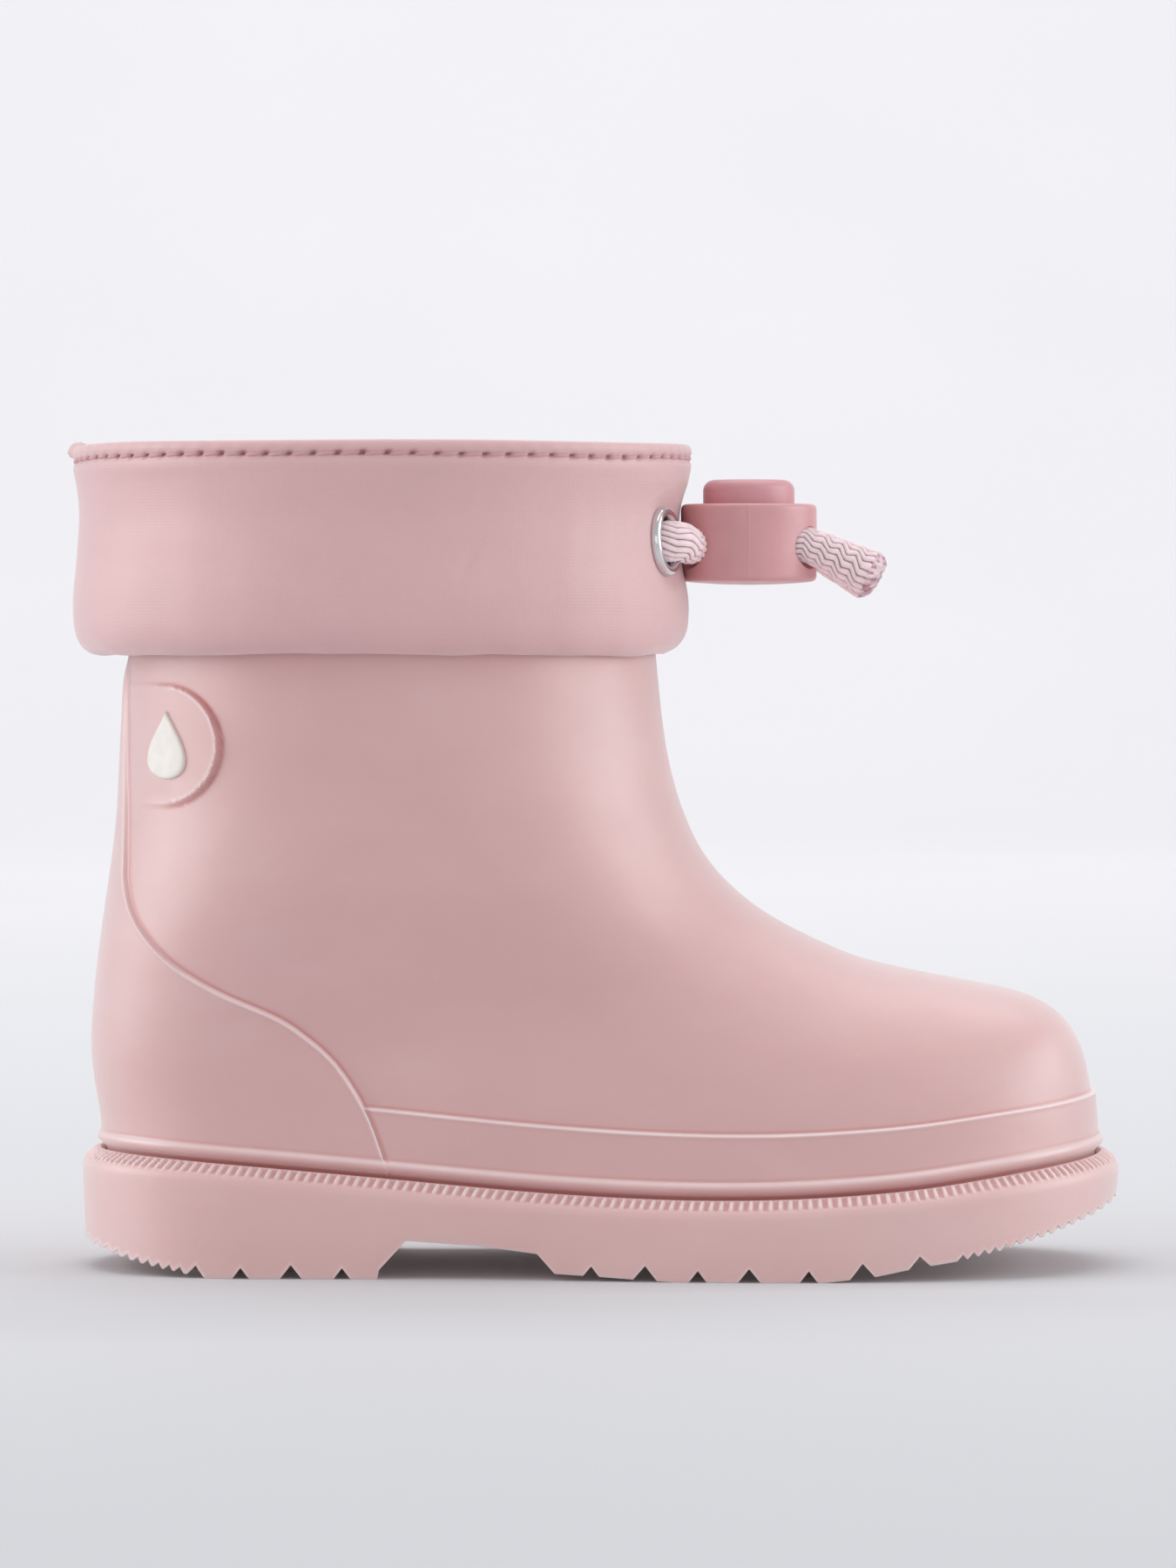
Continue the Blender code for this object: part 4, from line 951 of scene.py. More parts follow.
# ================================================================= cuff
def cuff_xy(t, blend, offset, shaft_offset):
    cx = CUFF_X + (CUFF_A + offset) * np.cos(t)
    cy = (CUFF_B + offset) * np.sin(t)
    sx = SHAFT_X + (SHAFT_A + shaft_offset) * np.cos(t)
    sy = (SHAFT_B + shaft_offset) * np.sin(t)
    return cx + (sx - cx) * blend, cy + (sy - cy) * blend


def waist(t, z):
    a = np.arctan2(np.sin(t), np.cos(t))
    low = -0.75 * np.exp(-((a / 0.9) ** 2)) * step(112.0, 104.0, z)
    return -1.30 * np.exp(-((a / 0.6) ** 2)) * np.exp(-(((z - 117.0) / 9.0) ** 4)) + low


def rim_wave(t):
    """Slight rise and fall of the soft rim, in mm."""
    return 0.30 * np.cos(t + 1.0) + 0.16 * np.sin(2 * t + 0.6) + 0.07 * np.sin(5 * t + 2.0) - 0.25


def hem_wave(t):
    """Slight rise and fall of the fold at the cuff's foot."""
    return 0.16 * np.sin(3 * t + 0.4) + 0.10 * np.sin(7 * t + 1.9) + 0.06 * np.sin(15 * t)


# (blend, offset, height, offset from the shaft), from the rim's inner side over and down to the seam on the shaft
OUT = [(0.0, -2.05, 130.4, 0), (0.0, -2.0, 131.2, 0), (0.0, -1.75, 132.0, 0), (0.0, -1.2, 132.55, 0),
       (0.0, -0.65, 132.55, 0), (0.0, -0.2, 132.2, 0), (0.0, 0.02, 131.6, 0), (0.0, 0.0, 131.0, 0),
       (0.0, -0.28, 130.35, 0), (0.0, -0.12, 129.7, 0), (0.0, 0.0, 129.0, 0), (0.0, -0.2, 127.5, 0),
       (0.0, -0.6, 125.0, 0), (0.0, -0.85, 122.5, 0), (0.0, -0.95, 120.0, 0), (0.0, -0.88, 117.5, 0),
       (0.0, -0.65, 115.0, 0), (0.0, -0.35, 112.5, 0), (0.0, -0.05, 110.0, 0), (0.0, 0.12, 107.5, 0),
       (0.0, 0.1, 105.0, 0), (0.0, -0.1, 103.0, 0), (0.0, -0.5, 101.6, 0), (0.0, -1.1, 100.5, 0),
       (0.0, -1.9, 99.7, 0), (0.0, -2.9, 99.15, 0), (0.10, -3.4, 98.9, 0.6), (0.3, -3.4, 98.8, 0.6),
       (0.55, -3.4, 98.9, 0.6), (0.8, -3.4, 99.1, 0.6), (0.95, -3.4, 99.6, 0.6), (1.0, -3.4, 100.4, 0.7),
       (1.0, -3.4, 102.0, 0.8), (1.0, -3.4, 106.0, 0.9)]
LIN = [(0.0, -2.0, 131.6, 0), (0.0, -2.25, 131.0, 0), (0.0, -2.5, 130.2, 0), (0.06, -2.45, 129.4, -2.8),
       (0.3, -2.3, 127.6, -3.1), (0.55, -2.1, 125.6, -3.4), (0.8, -2.0, 123.0, -3.7), (1.0, -1.9, 119.5, -4.0),
       (1.0, 0, 115.0, -4.2), (1.0, 0, 110.0, -4.2), (1.0, 0, 104.0, -4.3), (1.0, 0, 100.0, -4.35),
       (1.0, 0, 98.6, -4.2)]


def path_samples(path, pitch):
    """A path read smoothly at about pitch mm."""
    p = np.array(path, float)
    mid_r = np.where(p[:, 0] > 0, CUFF_A + p[:, 1] + (SHAFT_A + p[:, 3] - CUFF_A - p[:, 1]) * p[:, 0], CUFF_A + p[:, 1])
    s = np.concatenate([[0], np.cumsum(np.hypot(np.diff(mid_r), np.diff(p[:, 2])) + 1e-6)])
    n = int(s[-1] / pitch) + 1
    at = np.linspace(0, s[-1], n)
    cols = []
    for k in range(4):
        if k == 2 or k == 1:
            cols.append(spline(list(zip(s, p[:, k])))(at))
        else:
            cols.append(np.interp(at, s, p[:, k]))
    return np.stack(cols, axis=1), at


STITCHES = 80
HOLES = [(2 * math.pi * (k + 0.5) / STITCHES) for k in range(STITCHES)]


def stitch_z(t):
    return 130.35 + rim_wave(t) + 0.10 * np.sin(3 * t + 1.0) + 0.05 * np.sin(11 * t)


def eyelet_frame(side):
    heights = np.array([99.9, 102.0, 105.5, 110.0, 115.5, 120.0, 125.0, 129.6])
    offs = np.array([-1.5, -0.3, 0.1, -0.05, -0.7, -0.95, -0.6, -0.1])

    def face(t, z):
        o = float(np.interp(z, heights, offs)) + float(waist(t, z))
        x, y = cuff_xy(t, 0.0, o, 0)
        return Vector((float(x), float(y), z))

    t = side * EYELET_ANGLE
    along = face(t + 0.1, EYELET_Z) - face(t - 0.1, EYELET_Z)
    up = face(t, EYELET_Z + 3) - face(t, EYELET_Z - 3)
    return face(t, EYELET_Z), along.cross(up).normalized()


EYES = {side: eyelet_frame(side) for side in (-1, 1)}

TC = 760
tt = np.linspace(0, 2 * math.pi, TC, endpoint=False)


def cuff_sheet(path, pitch, inner=False):
    p, s = path_samples(path, pitch)
    b, o, z, so = (p[:, k][:, None] for k in range(4))
    t = tt[None, :]
    top = step(118.0, 131.0, z) * rim_wave(t)
    foot_ = (1 - step(99.0, 112.0, z)) * hem_wave(t)
    zz = z + top + (0 if inner else foot_)
    w = waist(t, z) * (1 - b)
    x, y = cuff_xy(t, b, o + w, so)
    grid = np.stack(np.broadcast_arrays(x, y, zz), axis=-1)
    return grid, s, z, t


grid, s_cuff, z_cuff, t_cuff = cuff_sheet(OUT, 0.42)
n_cuff = grid_normals(grid[::-1])[::-1]
side_of = n_cuff
# soft unevenness of the cloth: broad swells, the drawcord's tunnel, and puckers near the eyelets
face_z = grid[..., 2]
body_ = step(128.6, 126.0, face_z) * step(98.6, 103.0, face_z)
swell = noise3(grid * np.array([1, 1, 0.8]), 21.0) * 0.30 + noise3(grid * np.array([1.6, 1.6, 0.5]), 12.0) * 0.12
t_all = np.broadcast_to(t_cuff, face_z.shape)
a_all = np.arctan2(np.sin(t_all), np.cos(t_all))
tunnel = 0.16 * np.exp(-((face_z - 117.2) / 3.0) ** 2) * step(0.3, 0.7, np.abs(a_all))
pucker = 0.05 * np.sin(a_all * 46 + 1.2 * np.sin(face_z / 4)) * np.exp(-((face_z - 117) / 6) ** 2) * np.exp(
    -((np.abs(a_all) - 0.62) / 0.26) ** 2)
crease = -0.17 * np.exp(-(((t_all - (2 * math.pi - 1.28)) * 41 - (face_z - 112.6) * 0.35) / 0.8) ** 2) * np.exp(
    -((face_z - 112.9) / 2.4) ** 2)
crease += -0.22 * np.exp(-(((t_all - (2 * math.pi - 1.75)) * 41 + (face_z - 111.0) * 0.5) / 2.6) ** 2) * np.exp(
    -((face_z - 110.5) / 6.0) ** 2)
hem_bumps = 0.12 * noise3(grid, 5.0) * np.exp(-((face_z - 99.6) / 1.6) ** 2)
move = (swell + tunnel + pucker + crease) * body_ + hem_bumps
# the rear seam of the sleeve: a shallow closed seam line with a small lump on the rim
rear = (t_all - math.pi) * 50
move += -0.28 * np.exp(-(rear / 0.35) ** 2) * step(100.0, 102.0, face_z) + 0.10 * np.exp(-((np.abs(rear) - 1.1) / 0.7) ** 2) * body_
move += 0.95 * np.exp(-((rear - 1.2) / 2.0) ** 2) * step(130.2, 131.2, face_z)
# needle holes and the pull of each stitch
sz = stitch_z(t_all)
near = ((t_all / (2 * math.pi) * STITCHES) % 1.0) - 0.5
along = near * (2 * math.pi * 45.7 / STITCHES)
pit = np.exp(-np.abs(along / 0.62) ** 3 - np.abs((face_z - sz - 0.10 * along) / 0.33) ** 3)
pit *= (move is not None) & (np.arange(len(face_z)) > len(face_z) * 0.05)[:, None]
move += -0.60 * pit
move += -0.10 * np.exp(-((face_z - sz) / 0.55) ** 2)
move += 0.05 * np.cos(2 * math.pi * near) * np.exp(-((face_z - (sz + 1.1)) / 0.8) ** 2)
outside = n_cuff
flipped = 1.0 if (outside[40, :, 0] * np.cos(tt)).sum() > 0 else -1.0
grid = grid + outside * flipped * move[..., None]
pressed = np.zeros(grid.shape[:2])
keep = np.ones(grid.shape[:2], bool)
for side, (p, n) in EYES.items():
    d = grid - np.array(p)
    h = d @ np.array(n)
    r = np.linalg.norm(d - h[..., None] * np.array(n), axis=-1)
    close = np.abs(h) < 6
    flat = np.where(close, step(8.5, 5.0, r), 0)
    grid = grid - (flat * (h + 0.25))[..., None] * np.array(n)
    keep &= ~((r < 4.55) & close & (grid[..., 0] > 5))
rows = len(grid)
q = grid_quads(rows, TC)
u = np.linspace(0, 286, TC + 1)
uvs = grid_uv(u, np.append(s_cuff, s_cuff[-1] + 1), rows, TC)
kv = keep.reshape(-1)
mask = kv[q].all(axis=1)
flip = slice(None) if flipped > 0 else slice(None, None, -1)
cuff_o = quads_mesh("cuff_outer_cloth", grid, q[mask][:, ::-1], M_CUFF, uvs[mask][:, ::-1], True, None)
# Painted shade at the needle holes, from the same mask that sinks them.
att = cuff_o.data.attributes.new("needle_hole_painted_shade", "FLOAT", "POINT")
att.data.foreach_set("value", np.clip(pit * 1.25 - 0.1, 0, 0.9).astype(np.float32).ravel())
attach(cuff_o, "boot")
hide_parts("cuff_outer")

gl, s_lin, zl, tl = cuff_sheet(LIN, 0.9, True)
nl = grid_normals(gl)
gl = gl + nl * ((noise3(gl, 16.0) * 0.35 + noise3(gl, 7.0) * 0.10) * step(131.0, 127.0, gl[..., 2]))[..., None]
rl = len(gl)
lining_o = quads_mesh("cuff_lining_cloth", gl, grid_quads(rl, TC), M_KNIT,
                      grid_uv(u, np.append(s_lin, s_lin[-1] + 1), rl, TC), True, None)
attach(lining_o, "boot")
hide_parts("cuff_lining")


# ================================================================= stitches
def tube_mesh(path, radii, sides, ups=None, twist=0.0):
    """Vertices of a tube along path (n, 3) with radii (n,), open at both ends, with the arc length along the path and
    the ring directions.
    """
    p = np.asarray(path, float)
    n = len(p)
    tan = np.gradient(p, axis=0)
    tan /= np.linalg.norm(tan, axis=1, keepdims=True)
    up = np.array([0, 0, 1.0]) if ups is None else ups
    a = np.cross(tan, up)
    a /= np.maximum(np.linalg.norm(a, axis=1, keepdims=True), 1e-9)
    b = np.cross(a, tan)
    th = np.linspace(0, 2 * math.pi, sides, endpoint=False)
    ring = a[:, None] * np.cos(th)[None, :, None] + b[:, None] * np.sin(th)[None, :, None]
    v = p[:, None] + ring * np.asarray(radii)[:, None, None]
    s = np.concatenate([[0], np.cumsum(np.linalg.norm(np.diff(p, axis=0), axis=1))])
    return v, s, ring


def merged(name, chunks, mat, **kw):
    vs_, qs, us, at = [], [], [], 0
    for v, q_, uv_ in chunks:
        vs_.append(v.reshape(-1, 3))
        qs.append(q_ + at)
        us.append(uv_)
        at += len(vs_[-1])
    return quads_mesh(name, np.concatenate(vs_), np.concatenate(qs), mat, np.concatenate(us), True, None)


def surface_at(t, z):
    """Cuff's outer face near the rim, for laying stitches on it."""
    o = np.interp(z, [129.0, 129.7, 130.35, 131.0, 131.6], [0.0, -0.12, -0.28, 0.0, 0.02])
    x, y = cuff_xy(t, 0.0, o - 0.10, 0)
    return np.stack([x, y, np.broadcast_to(z, x.shape)], axis=-1)


chunks = []
for k in range(STITCHES):
    t0 = 2 * math.pi * k / STITCHES
    f = np.linspace(-0.5, 0.5, 9)
    t = t0 + f * (2 * math.pi / STITCHES) * 0.76
    zs = 130.35 + rim_wave(t) + 0.10 * np.sin(3 * t + 1.0) + 0.05 * np.sin(11 * t)
    tilt = 0.16 * f * 2
    x, y = cuff_xy(t, 0.0, -0.28 - 0.10, 0)
    nx, ny = np.cos(t) / CUFF_A, np.sin(t) / CUFF_B
    nn = np.hypot(nx, ny)
    arch = 0.34 * (1 - (2 * f) ** 4) - 0.30
    p = np.stack([x + nx / nn * arch, y + ny / nn * arch, zs + tilt], axis=-1)
    rad = 0.33 * np.sqrt(np.clip(1 - (2 * f * 0.93) ** 6, 0.12, 1)) * (1 + 0.06 * math.sin(k * 2.3))
    v, s, ring = tube_mesh(p, rad, 10)
    qv = grid_quads(len(p), 10)
    chunks.append((v, qv, grid_uv(np.arange(11) * 0.2, np.append(s, s[-1] + 0.1) * 1.0, len(p), 10)))
st = merged("cuff_top_stitches", chunks, M_THREAD)
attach(st, "boot")
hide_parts("cuff_top_thread")


# ================================================================= eyelets
def facing(point, normal):
    q_ = Vector(normal).to_track_quat("Z", "Y")
    p_ = Vector(((point[0] + SHIFT_X) * MM, point[1] * MM, point[2] * MM))
    return Matrix.Translation(p_) @ q_.to_matrix().to_4x4()


RO, RI = 5.55, 3.85
for side, word in ((-1, "lateral"), (1, "medial")):
    p, n = EYES[side]
    flange = [(RI + 0.02, -2.2), (RI, 0.25)]
    for a in np.linspace(180, 0, 15):
        flange.append(((RO + RI) / 2 + (RO - RI) / 2 * math.cos(math.radians(a)),
                       0.25 + 0.92 * math.sin(math.radians(a)) ** 0.85))
    flange += [(RO - 0.04, -0.15), (RO - 0.3, -0.25), (RI + 0.55, -0.25), (RI + 0.5, -2.2)]
    e = lathe("eyelet_ring_" + word, flange, 72, M_METAL, facing(p, n), 60)
    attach(e, "boot")
    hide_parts("eyelet_" + word)
    ring_ = round_corners([(RI + 0.6, -1.95), (RO - 0.25, -1.95), (RO - 0.2, -2.3), (RI + 0.6, -2.4)], 0.12, 3)
    w = lathe("eyelet_back_" + word, ring_, 48, M_METAL, facing(p, n), 60)
    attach(w, "boot")
    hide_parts("eyelet_washer_" + word)


# ================================================================= drawcord
def smooth_path(points, spacing, values):
    p = np.array([tuple(q_) for q_ in points], float)
    s = np.concatenate([[0], np.cumsum(np.linalg.norm(np.diff(p, axis=0), axis=1))])
    at = np.linspace(0, s[-1], int(s[-1] / spacing) + 1)
    xs = [spline(list(zip(s, p[:, k])))(at) for k in range(3)]
    return np.stack(xs, axis=1), np.interp(at, s, values), at


def parallel_frames(p):
    tan = np.gradient(p, axis=0)
    tan /= np.linalg.norm(tan, axis=1, keepdims=True)
    a = np.zeros_like(p)
    ref = np.array([0, 0, 1.0])
    a[0] = np.cross(tan[0], ref)
    a[0] /= np.linalg.norm(a[0])
    for k in range(1, len(p)):
        v = a[k - 1] - tan[k] * np.dot(a[k - 1], tan[k])
        a[k] = v / np.linalg.norm(v)
    return tan, a, np.cross(tan, a)


WALES = 17  # ridges round the cord
LEG = 1.45  # mm along the cord between two turns of the herringbone


def braided(name, points, values, spacing=0.14, sides=210, cut_end=False, cut_start=False, ride="boot", lay_shift=0.0):
    p, r, s = smooth_path(points, spacing, values)
    tan, a, b = parallel_frames(p)
    th = np.linspace(0, 2 * math.pi, sides, endpoint=False)
    S = (s + lay_shift)[:, None]
    T = th[None, :] / (2 * math.pi)
    zig = 2 / math.pi * np.arcsin(0.97 * np.sin(math.pi * S / LEG))
    wobble = noise3(np.stack(np.broadcast_arrays(np.cos(2 * math.pi * T) * 2.8, np.sin(2 * math.pi * T) * 2.8, S), -1) + 31.0, 1.5)
    f = WALES * T + 0.40 * zig - 0.34 * S + 0.22 * wobble
    strand = np.floor(f)
    leg_no = np.floor(S / LEG + 0.5)
    u = 2 * (f - strand) - 1
    h = np.sqrt(np.clip(1 - u ** 2, 0, 1)) * (0.80 + 0.20 * np.abs(np.cos(math.pi * S / LEG)) ** 0.5)
    own = np.sin(strand * 12.9898 % WALES + leg_no * 78.233) * 0.5 + 0.5
    crown = np.clip(h * (0.90 + 0.10 * own), 0, 1)
    rr = r[:, None] * (1 + 0.0 * T) + (h - 0.74) * (0.50 + 0.14 * wobble)
    rr += 0.06 * noise3(np.stack(np.broadcast_arrays(np.cos(2 * math.pi * T) * 2.8, np.sin(2 * math.pi * T) * 2.8, S), -1), 0.8)
    ring = a[:, None] * np.cos(th)[None, :, None] + b[:, None] * np.sin(th)[None, :, None]
    v = p[:, None] + ring * rr[..., None]
    across = (f - strand) * 2.6
    lengthwise = np.broadcast_to(S, across.shape) * 0.8
    uvv = np.stack([across, lengthwise], axis=-1)
    extra_rows = []
    for end, on in ((0, cut_start), (-1, cut_end)):
        if not on:
            continue
        d = -1.0 if end == 0 else 1.0
        base = v[end]
        c = p[end]
        new = []
        for f, push in [(0.99, 0.20), (0.972, 0.42), (0.945, 0.66), (0.905, 0.92), (0.85, 1.18), (0.78, 1.42), (0.69, 1.62), (0.58, 1.78), (0.45, 1.88), (0.30, 1.94), (0.15, 1.96), (0.02, 1.96)]:
            ringp = c + (base - c) * f
            bump_ = (noise3(ringp, 0.55) * 0.28 + noise3(ringp, 1.3) * 0.2) * (1 - f ** 8)
            new.append(ringp + tan[end] * d * (push + bump_)[:, None])
        extra_rows.append((end, np.array(new)))
    crown_full = crown
    for end, new in extra_rows:
        c_new = np.clip(0.45 + 0.35 * noise3(new, 0.5), 0, 1)
        uv_new = np.stack([new[..., 1] * 3, new[..., 2] * 3], -1)
        if end == 0:
            v = np.concatenate([new[::-1], v])
            crown_full = np.concatenate([c_new[::-1], crown_full])
            uvv = np.concatenate([uv_new[::-1], uvv])
        else:
            v = np.concatenate([v, new])
            crown_full = np.concatenate([crown_full, c_new])
            uvv = np.concatenate([uvv, uv_new])
    rows_ = len(v)
    q_ = grid_quads(rows_, sides)
    o = quads_mesh(name, v, q_[:, ::-1], M_CORD, uvv.reshape(-1, 2)[q_][:, ::-1], True, None)
    att = o.data.attributes.new("crown", "FLOAT", "POINT")
    att.data.foreach_set("value", crown_full.astype(np.float32).ravel())
    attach(o, ride)
    return o, p


def tunnel_point(t):
    x, y = cuff_xy(t, 0.0, -5.0 + float(waist(t, EYELET_Z)), 0)
    return Vector((float(x), float(y), EYELET_Z))


tails = []
for side, word in ((-1, "lateral"), (1, "medial")):
    p, n = EYES[side]
    e_in = p - n * 4.3
    sag = 0.35 if side < 0 else 0.1
    inside = [Vector(tunnel_point(side * math.radians(46))), Vector(tunnel_point(side * math.radians(38))),
              Vector(tunnel_point(side * math.radians(30))), e_in + Vector((-1.2, side * 1.0, 0)), p - n * 1.7,
              p + n * 0.8 + Vector((0, -side * 0.3, 0)), p + n * 2.2 + Vector((0.3, -side * 1.5, -0.15)),
              Vector((LOCK_X - 9.6, side * (CHANNEL_Y + 2.7), EYELET_Z - sag - 0.3)),
              Vector((LOCK_X - 8.0, side * (CHANNEL_Y + 0.75), EYELET_Z - 0.45)),
              Vector((LOCK_X - 5.0, side * CHANNEL_Y, EYELET_Z - 0.4)), Vector((LOCK_X - 1.0, side * CHANNEL_Y, EYELET_Z)),
              Vector((LOCK_X + 3.0, side * CHANNEL_Y, EYELET_Z))]
    size = [2.4, 2.4, 2.35, 2.4, 2.9, 3.2, 3.05, 2.82, 2.66, 2.4, 2.2, 2.2]
    o, _p = braided("drawcord_run_" + word, inside, size, lay_shift=0.4 * side)
    tails.append(o)
    droop = 0.0 if side < 0 else -0.5
    tail = [Vector((LOCK_X + 1.0, side * CHANNEL_Y, EYELET_Z)), Vector((LOCK_X + 3.0, side * CHANNEL_Y, EYELET_Z)),
            Vector((LOCK_X + 6.0, side * CHANNEL_Y, EYELET_Z - 0.05)), Vector((LOCK_X + 8.8, side * (CHANNEL_Y + 0.05), EYELET_Z - 0.35)),
            Vector((LOCK_X + 12.2, side * (CHANNEL_Y + 0.25), EYELET_Z - 1.6 + droop * 0.3)),
            Vector((LOCK_X + 15.8, side * (CHANNEL_Y + 0.5), EYELET_Z - 3.3 + droop * 0.7)),
            Vector((LOCK_X + 19.3, side * (CHANNEL_Y + 0.82), EYELET_Z - 4.9 + droop))]
    o, _p = braided("drawcord_end_" + word, tail, [2.1, 2.2, 2.5, 2.72, 2.92, 3.3, 3.72], cut_end=True, lay_shift=1.1 * side, ride="lock")
    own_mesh(o)
    tails.append(o)

loop_t = np.radians(np.linspace(44, 316, 60))
loop_pts = [tunnel_point(-a) for a in loop_t]
loop, _p = braided("drawcord_hidden_loop", loop_pts, [2.4] * len(loop_pts), spacing=1.2, sides=24)
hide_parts("drawcord")


# ================================================================= cord lock
def remeshed(o, voxel, smooth_steps, mat):
    m = o.modifiers.new("remesh", "REMESH")
    m.mode, m.voxel_size, m.use_smooth_shade = "VOXEL", voxel, True
    s_ = o.modifiers.new("soften", "SMOOTH")
    s_.factor, s_.iterations = 0.5, smooth_steps
    bpy.context.view_layer.update()
    me = bpy.data.meshes.new_from_object(o.evaluated_get(bpy.context.evaluated_depsgraph_get()))
    me.name = o.name + "_fine"
    old = o.data
    o.modifiers.clear()
    o.data = me
    bpy.data.meshes.remove(old)
    me.shade_smooth()
    if not me.materials:
        me.materials.append(mat)
    return o


def cylinder(radius, depth, axis, centre, segments=48, r2=None):
    bm = bmesh.new()
    bmesh.ops.create_cone(bm, cap_ends=True, segments=segments, radius1=radius * MM,
                          radius2=(radius if r2 is None else r2) * MM, depth=depth * MM)
    if axis == "X":
        bmesh.ops.rotate(bm, verts=bm.verts, cent=(0, 0, 0), matrix=Matrix.Rotation(math.pi / 2, 3, "Y"))
    bmesh.ops.translate(bm, verts=bm.verts, vec=((centre[0] + SHIFT_X) * MM, centre[1] * MM, centre[2] * MM))
    me = bpy.data.meshes.new("cut")
    bm.to_mesh(me)
    bm.free()
    o = bpy.data.objects.new("cut", me)
    bpy.context.scene.collection.objects.link(o)
    return o


def cut(o, cutters):
    for c in cutters:
        m = o.modifiers.new("cut", "BOOLEAN")
        m.operation, m.object, m.solver = "DIFFERENCE", c, "EXACT"
    bpy.context.view_layer.update()
    me = bpy.data.meshes.new_from_object(o.evaluated_get(bpy.context.evaluated_depsgraph_get()))
    o.modifiers.clear()
    old = o.data
    o.data = me
    bpy.data.meshes.remove(old)
    for c in cutters:
        me = c.data
        bpy.data.objects.remove(c)
        bpy.data.meshes.remove(me)
    return o


lock_place = Matrix.Translation(Vector(((LOCK_X + SHIFT_X) * MM, 0, 0)))
L0, L1 = LOCK_LOW, LOCK_HIGH
body_profile = round_corners([(0.001, L0 + 1.0), (7.75, L0 + 1.0), (7.75, L1 - 0.02), (LOCK_R, L1 - 0.02), (LOCK_R, L0 + 0.48),
                              (9.2, L0 + 0.22), (5.0, L0 - 0.06), (0.001, L0 - 0.18)], 0.95, 6, True)
body_profile = [(max(r_, 0.001), z_) for r_, z_ in body_profile]
lock = lathe("cord_lock_shell", body_profile, 128, M_LOCK, lock_place, 40)
cutters = []
for side in (-1, 1):
    cutters.append(cylinder(3.4, 30, "X", (LOCK_X, side * CHANNEL_Y, EYELET_Z - 0.9)))
cut(lock, cutters)
remeshed(lock, (0.16) * MM, 5, M_LOCK)
# a faint parting line down both sides, where the mould halves met
co = np.zeros(len(lock.data.vertices) * 3, np.float32)
lock.data.vertices.foreach_get("co", co)
co = co.reshape(-1, 3).astype(float)
rel_x = co[:, 0] / MM - SHIFT_X - LOCK_X
rad_ = np.hypot(rel_x, co[:, 1] / MM)
line = np.exp(-((rel_x + 0.3) / 0.16) ** 2) * (rad_ > 10.6) * 0.06
co[:, 1] += np.sign(co[:, 1]) * line * MM
lock.data.vertices.foreach_set("co", co.astype(np.float32).ravel())
lock.data.update()
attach(lock, "lock")
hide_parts("cord_lock_body")

B1 = BUTTON_TOP
btn_profile = [(0.001, B1 - 0.10), (3.0, B1 - 0.06), (5.2, B1 - 0.01)] + [
    (5.65 + 1.75 * math.sin(math.radians(a)), B1 - 1.75 + 1.75 * math.cos(math.radians(a))) for a in
    np.linspace(0, 90, 9)] + [(7.4, B1 - 4.0), (7.4, 114.1), (7.1, 113.95), (0.001, 113.95)]
btn = lathe("cord_lock_push_button", btn_profile, 128, M_BUTTON, lock_place, 40)
cutters = []
for side in (-1, 1):
    bm = bmesh.new()
    bmesh.ops.create_cube(bm, size=1.0)
    width, low, high = 9.0, 113.4 + 1.6, 122.6
    bmesh.ops.scale(bm, verts=bm.verts, vec=(0.03, width * MM, (high - low) * MM))
    bmesh.ops.translate(bm, verts=bm.verts, vec=((LOCK_X + SHIFT_X) * MM, side * (1.3 + width / 2) * MM, (high + low) / 2 * MM))
    me = bpy.data.meshes.new("slot")
    bm.to_mesh(me)
    bm.free()
    c = bpy.data.objects.new("slot", me)
    bpy.context.scene.collection.objects.link(c)
    cutters.append(c)
cut(btn, cutters)
btn.data.shade_smooth()
btn.data.set_sharp_from_angle(angle=math.radians(35))
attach(btn, "button")
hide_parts("cord_lock_button")

coil = []
turns, per = 2.5, 40
for k in range(int(turns * per) + 1):
    f = k / (turns * per)
    a = 2 * math.pi * turns * f
    r_ = 5.6 - 2.8 * f
    coil.append((LOCK_X + r_ * math.cos(a), r_ * math.sin(a), 111.75 + 1.7 * f))
v, s, ring = tube_mesh(np.array(coil), np.full(len(coil), 0.25), 12)
spring = quads_mesh("cord_lock_coil", v, grid_quads(len(coil), 12), M_WIRE,
                    grid_uv(np.arange(13) / 12, np.append(s, s[-1] + 1), len(coil), 12), True, None)
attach(spring, "lock")
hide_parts("cord_lock_spring")
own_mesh(spring)

# ================================================================= raindrop emblem
EX, EZ, ER, EH = -68.0, 84.4, 4.6, 5.4
ang = np.linspace(0, 2 * math.pi, 120, endpoint=False)
drop = np.stack([-ER * np.sin(ang) * np.sin(ang / 2) ** 1.5, EH * np.cos(ang)], axis=1)
centre = np.array([0.0, -0.2 * EH])
layers = [(1.0, -0.15), (1.0, 0.28), (0.985, 0.42), (0.94, 0.55), (0.87, 0.62), (0.78, 0.64), (0.6, 0.66), (0.4, 0.67),
          (0.2, 0.68), (0.01, 0.68)]
em = []
for f, h in layers:
    q2 = centre + (drop - centre) * f
    x, z = EX + q2[:, 0], EZ + q2[:, 1]
    w0 = half_width(x, z, -1)
    wx = half_width(x + 0.2, z, -1)
    wz = half_width(x, z + 0.2, -1)
    nn = np.stack([(w0 - wx) / 0.2, -np.ones(len(x)), (w0 - wz) / 0.2], axis=1)
    nn /= np.linalg.norm(nn, axis=1, keepdims=True)
    base_h = relief(x, -w0, z)
    em.append(np.stack([x, -w0, z], axis=1) + nn * (base_h + h)[:, None])
em = np.array(em)
qe = grid_quads(len(em), 120)
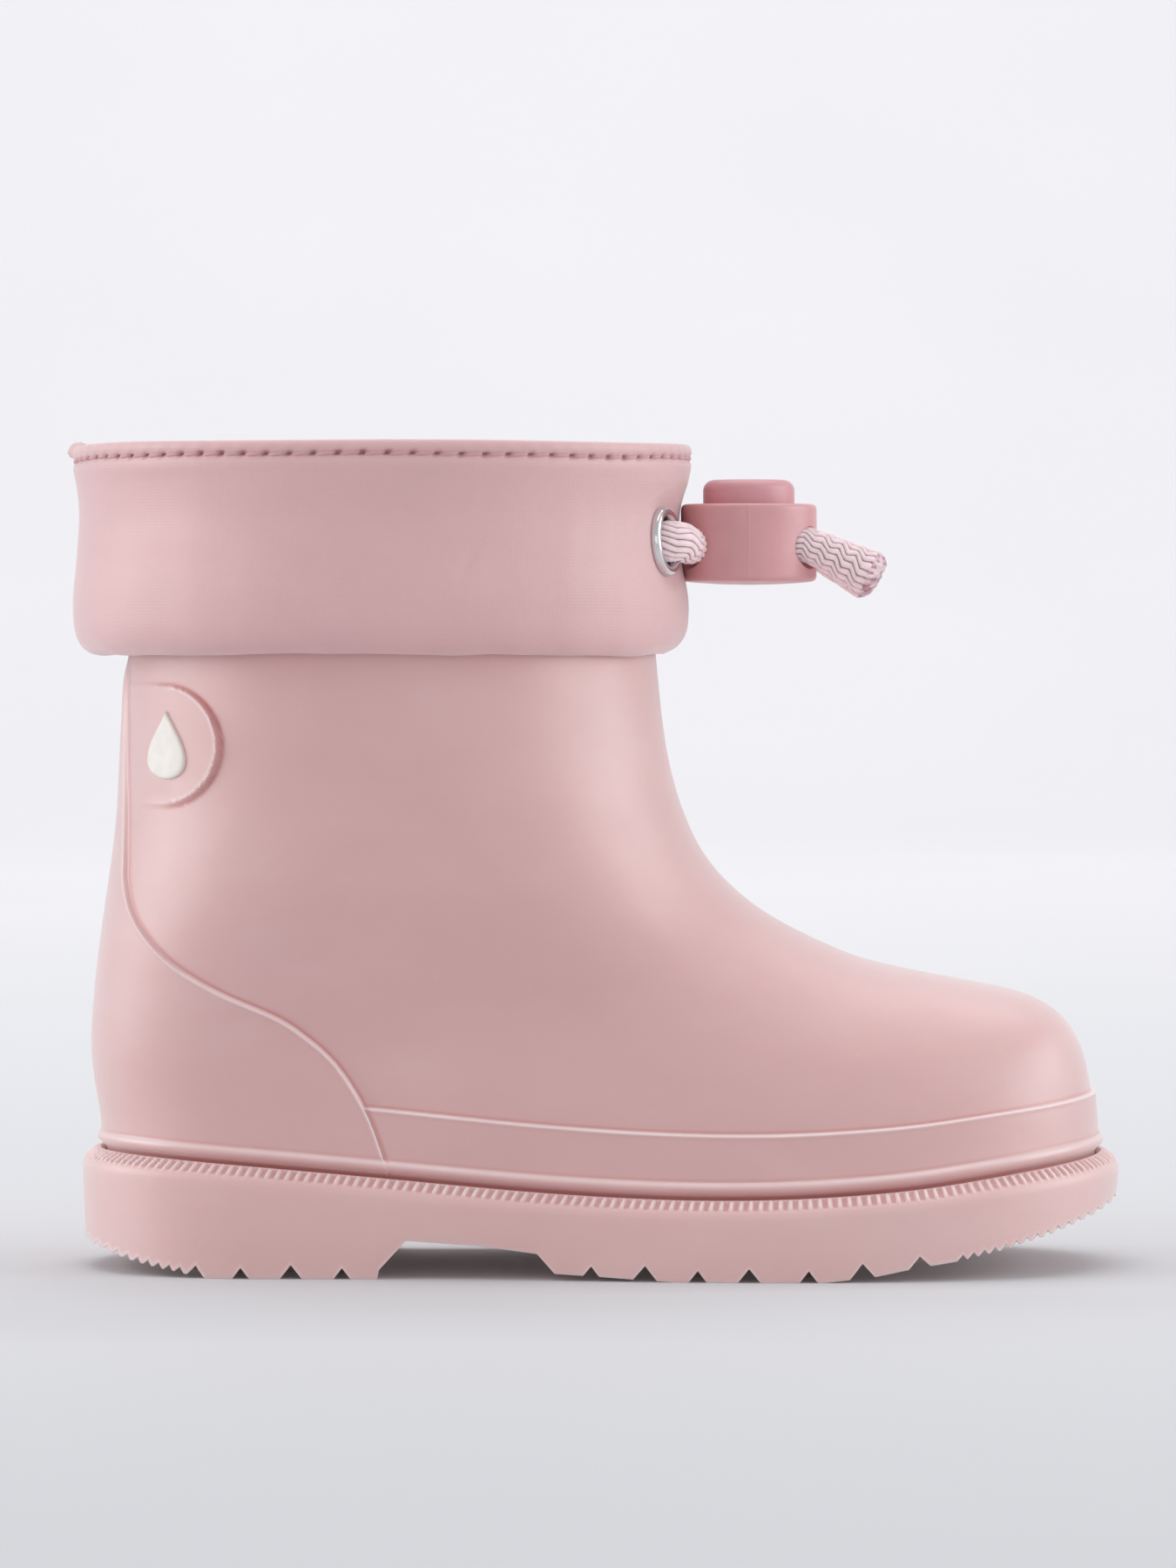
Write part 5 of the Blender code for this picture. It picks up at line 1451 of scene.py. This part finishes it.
emblem = quads_mesh("raindrop_emblem", em, qe, M_EMBLEM, em[..., [0, 2]].reshape(-1, 2)[qe], True, 60)
bm = bmesh.new()
bm.from_mesh(emblem.data)
bmesh.ops.recalc_face_normals(bm, faces=bm.faces)
bm.to_mesh(emblem.data)
bm.free()
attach(emblem, "boot")
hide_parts("badge_emblem")

# hidden seam thread stays as the CAD has it, in the thread's own material
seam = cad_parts["cuff_seam_thread"]
seam.data.materials.clear()
seam.data.materials.append(M_THREAD)

# ================================================================= floor, light and camera
def backdrop():
    s = Shader("seamless_paper", (0.592, 0.588, 0.608), 0.8)
    s.to("Base Color", s.ramp(s.noise(s.coords("Object"), 3.0, 2, 0.5), [(0.3, (0.586, 0.582, 0.602)), (0.7, (0.598, 0.594, 0.614))]))
    s.b.inputs["Emission Color"].default_value = (1.0, 0.975, 0.98, 1)
    s.b.inputs["Emission Strength"].default_value = 0.024
    pts, quads = [], []
    prof = [(-6.0, 0.0), (2.2, 0.0)] + [(2.2 + 1.6 * math.sin(a), 1.6 - 1.6 * math.cos(a)) for a in
                                       np.linspace(0.08, math.pi / 2, 18)] + [(3.8, 6.0)]
    for y, z in prof:
        pts += [(-7.0, y, z), (7.0, y, z)]
    for k in range(len(prof) - 1):
        quads.append((2 * k, 2 * k + 1, 2 * k + 3, 2 * k + 2))
    me = bpy.data.meshes.new("seamless_floor")
    me.from_pydata([tuple(q_) for q_ in pts], [], quads)
    me.shade_smooth()
    o = new_object("seamless_floor", me, s.m)
    return o


backdrop()


def area(name, loc, aim, size, power, color=(1, 1, 1), size_y=None):
    d = bpy.data.lights.new(name, "AREA")
    d.shape = "RECTANGLE"
    d.size, d.size_y = size, size_y or size
    d.energy = power
    d.color = color
    o = bpy.data.objects.new(name, d)
    bpy.context.scene.collection.objects.link(o)
    o.location = loc
    o.rotation_euler = (Vector(aim) - Vector(loc)).to_track_quat("-Z", "Y").to_euler()
    return o


area("soft_left", (-1.15, -0.05, 0.46), (0, 0, 0.07), 1.0, 7.8, (0.915, 0.998, 1.0), 0.85)
area("soft_right", (1.15, -0.10, 0.44), (0, 0, 0.07), 1.0, 7.0, (0.905, 0.998, 1.0), 0.8)
area("soft_top", (0.0, 0.2, 1.5), (0, 0, 0), 1.4, 6.0)
area("wall_wash", (0.0, 1.3, 2.4), (0, 3.8, 0.5), 3.0, 74, size_y=1.0)
area("fill_front", (0.1, -1.35, 0.28), (0, 0, 0.05), 1.4, 1.35, size_y=0.6)

world = bpy.data.worlds.new("studio")
bpy.context.scene.world = world
world.use_nodes = True
world.node_tree.nodes["Background"].inputs["Color"].default_value = (0.97, 0.975, 1.0, 1)
world.node_tree.nodes["Background"].inputs["Strength"].default_value = 0.61
bpy.context.scene.view_settings.view_transform = "Standard"
bpy.context.scene.view_settings.look = "None"

cam_data = bpy.data.cameras.new("camera")
cam_data.lens = 155.8
cam_data.sensor_width = 36.0
cam_data.clip_end = 30
cam = bpy.data.objects.new("camera", cam_data)
bpy.context.scene.collection.objects.link(cam)
cam.location = ((-1.34 + SHIFT_X) * MM, -1.1, 0.1031)
cam.rotation_euler = (math.radians(90 - 1.32), 0, 0)
bpy.context.scene.camera = cam
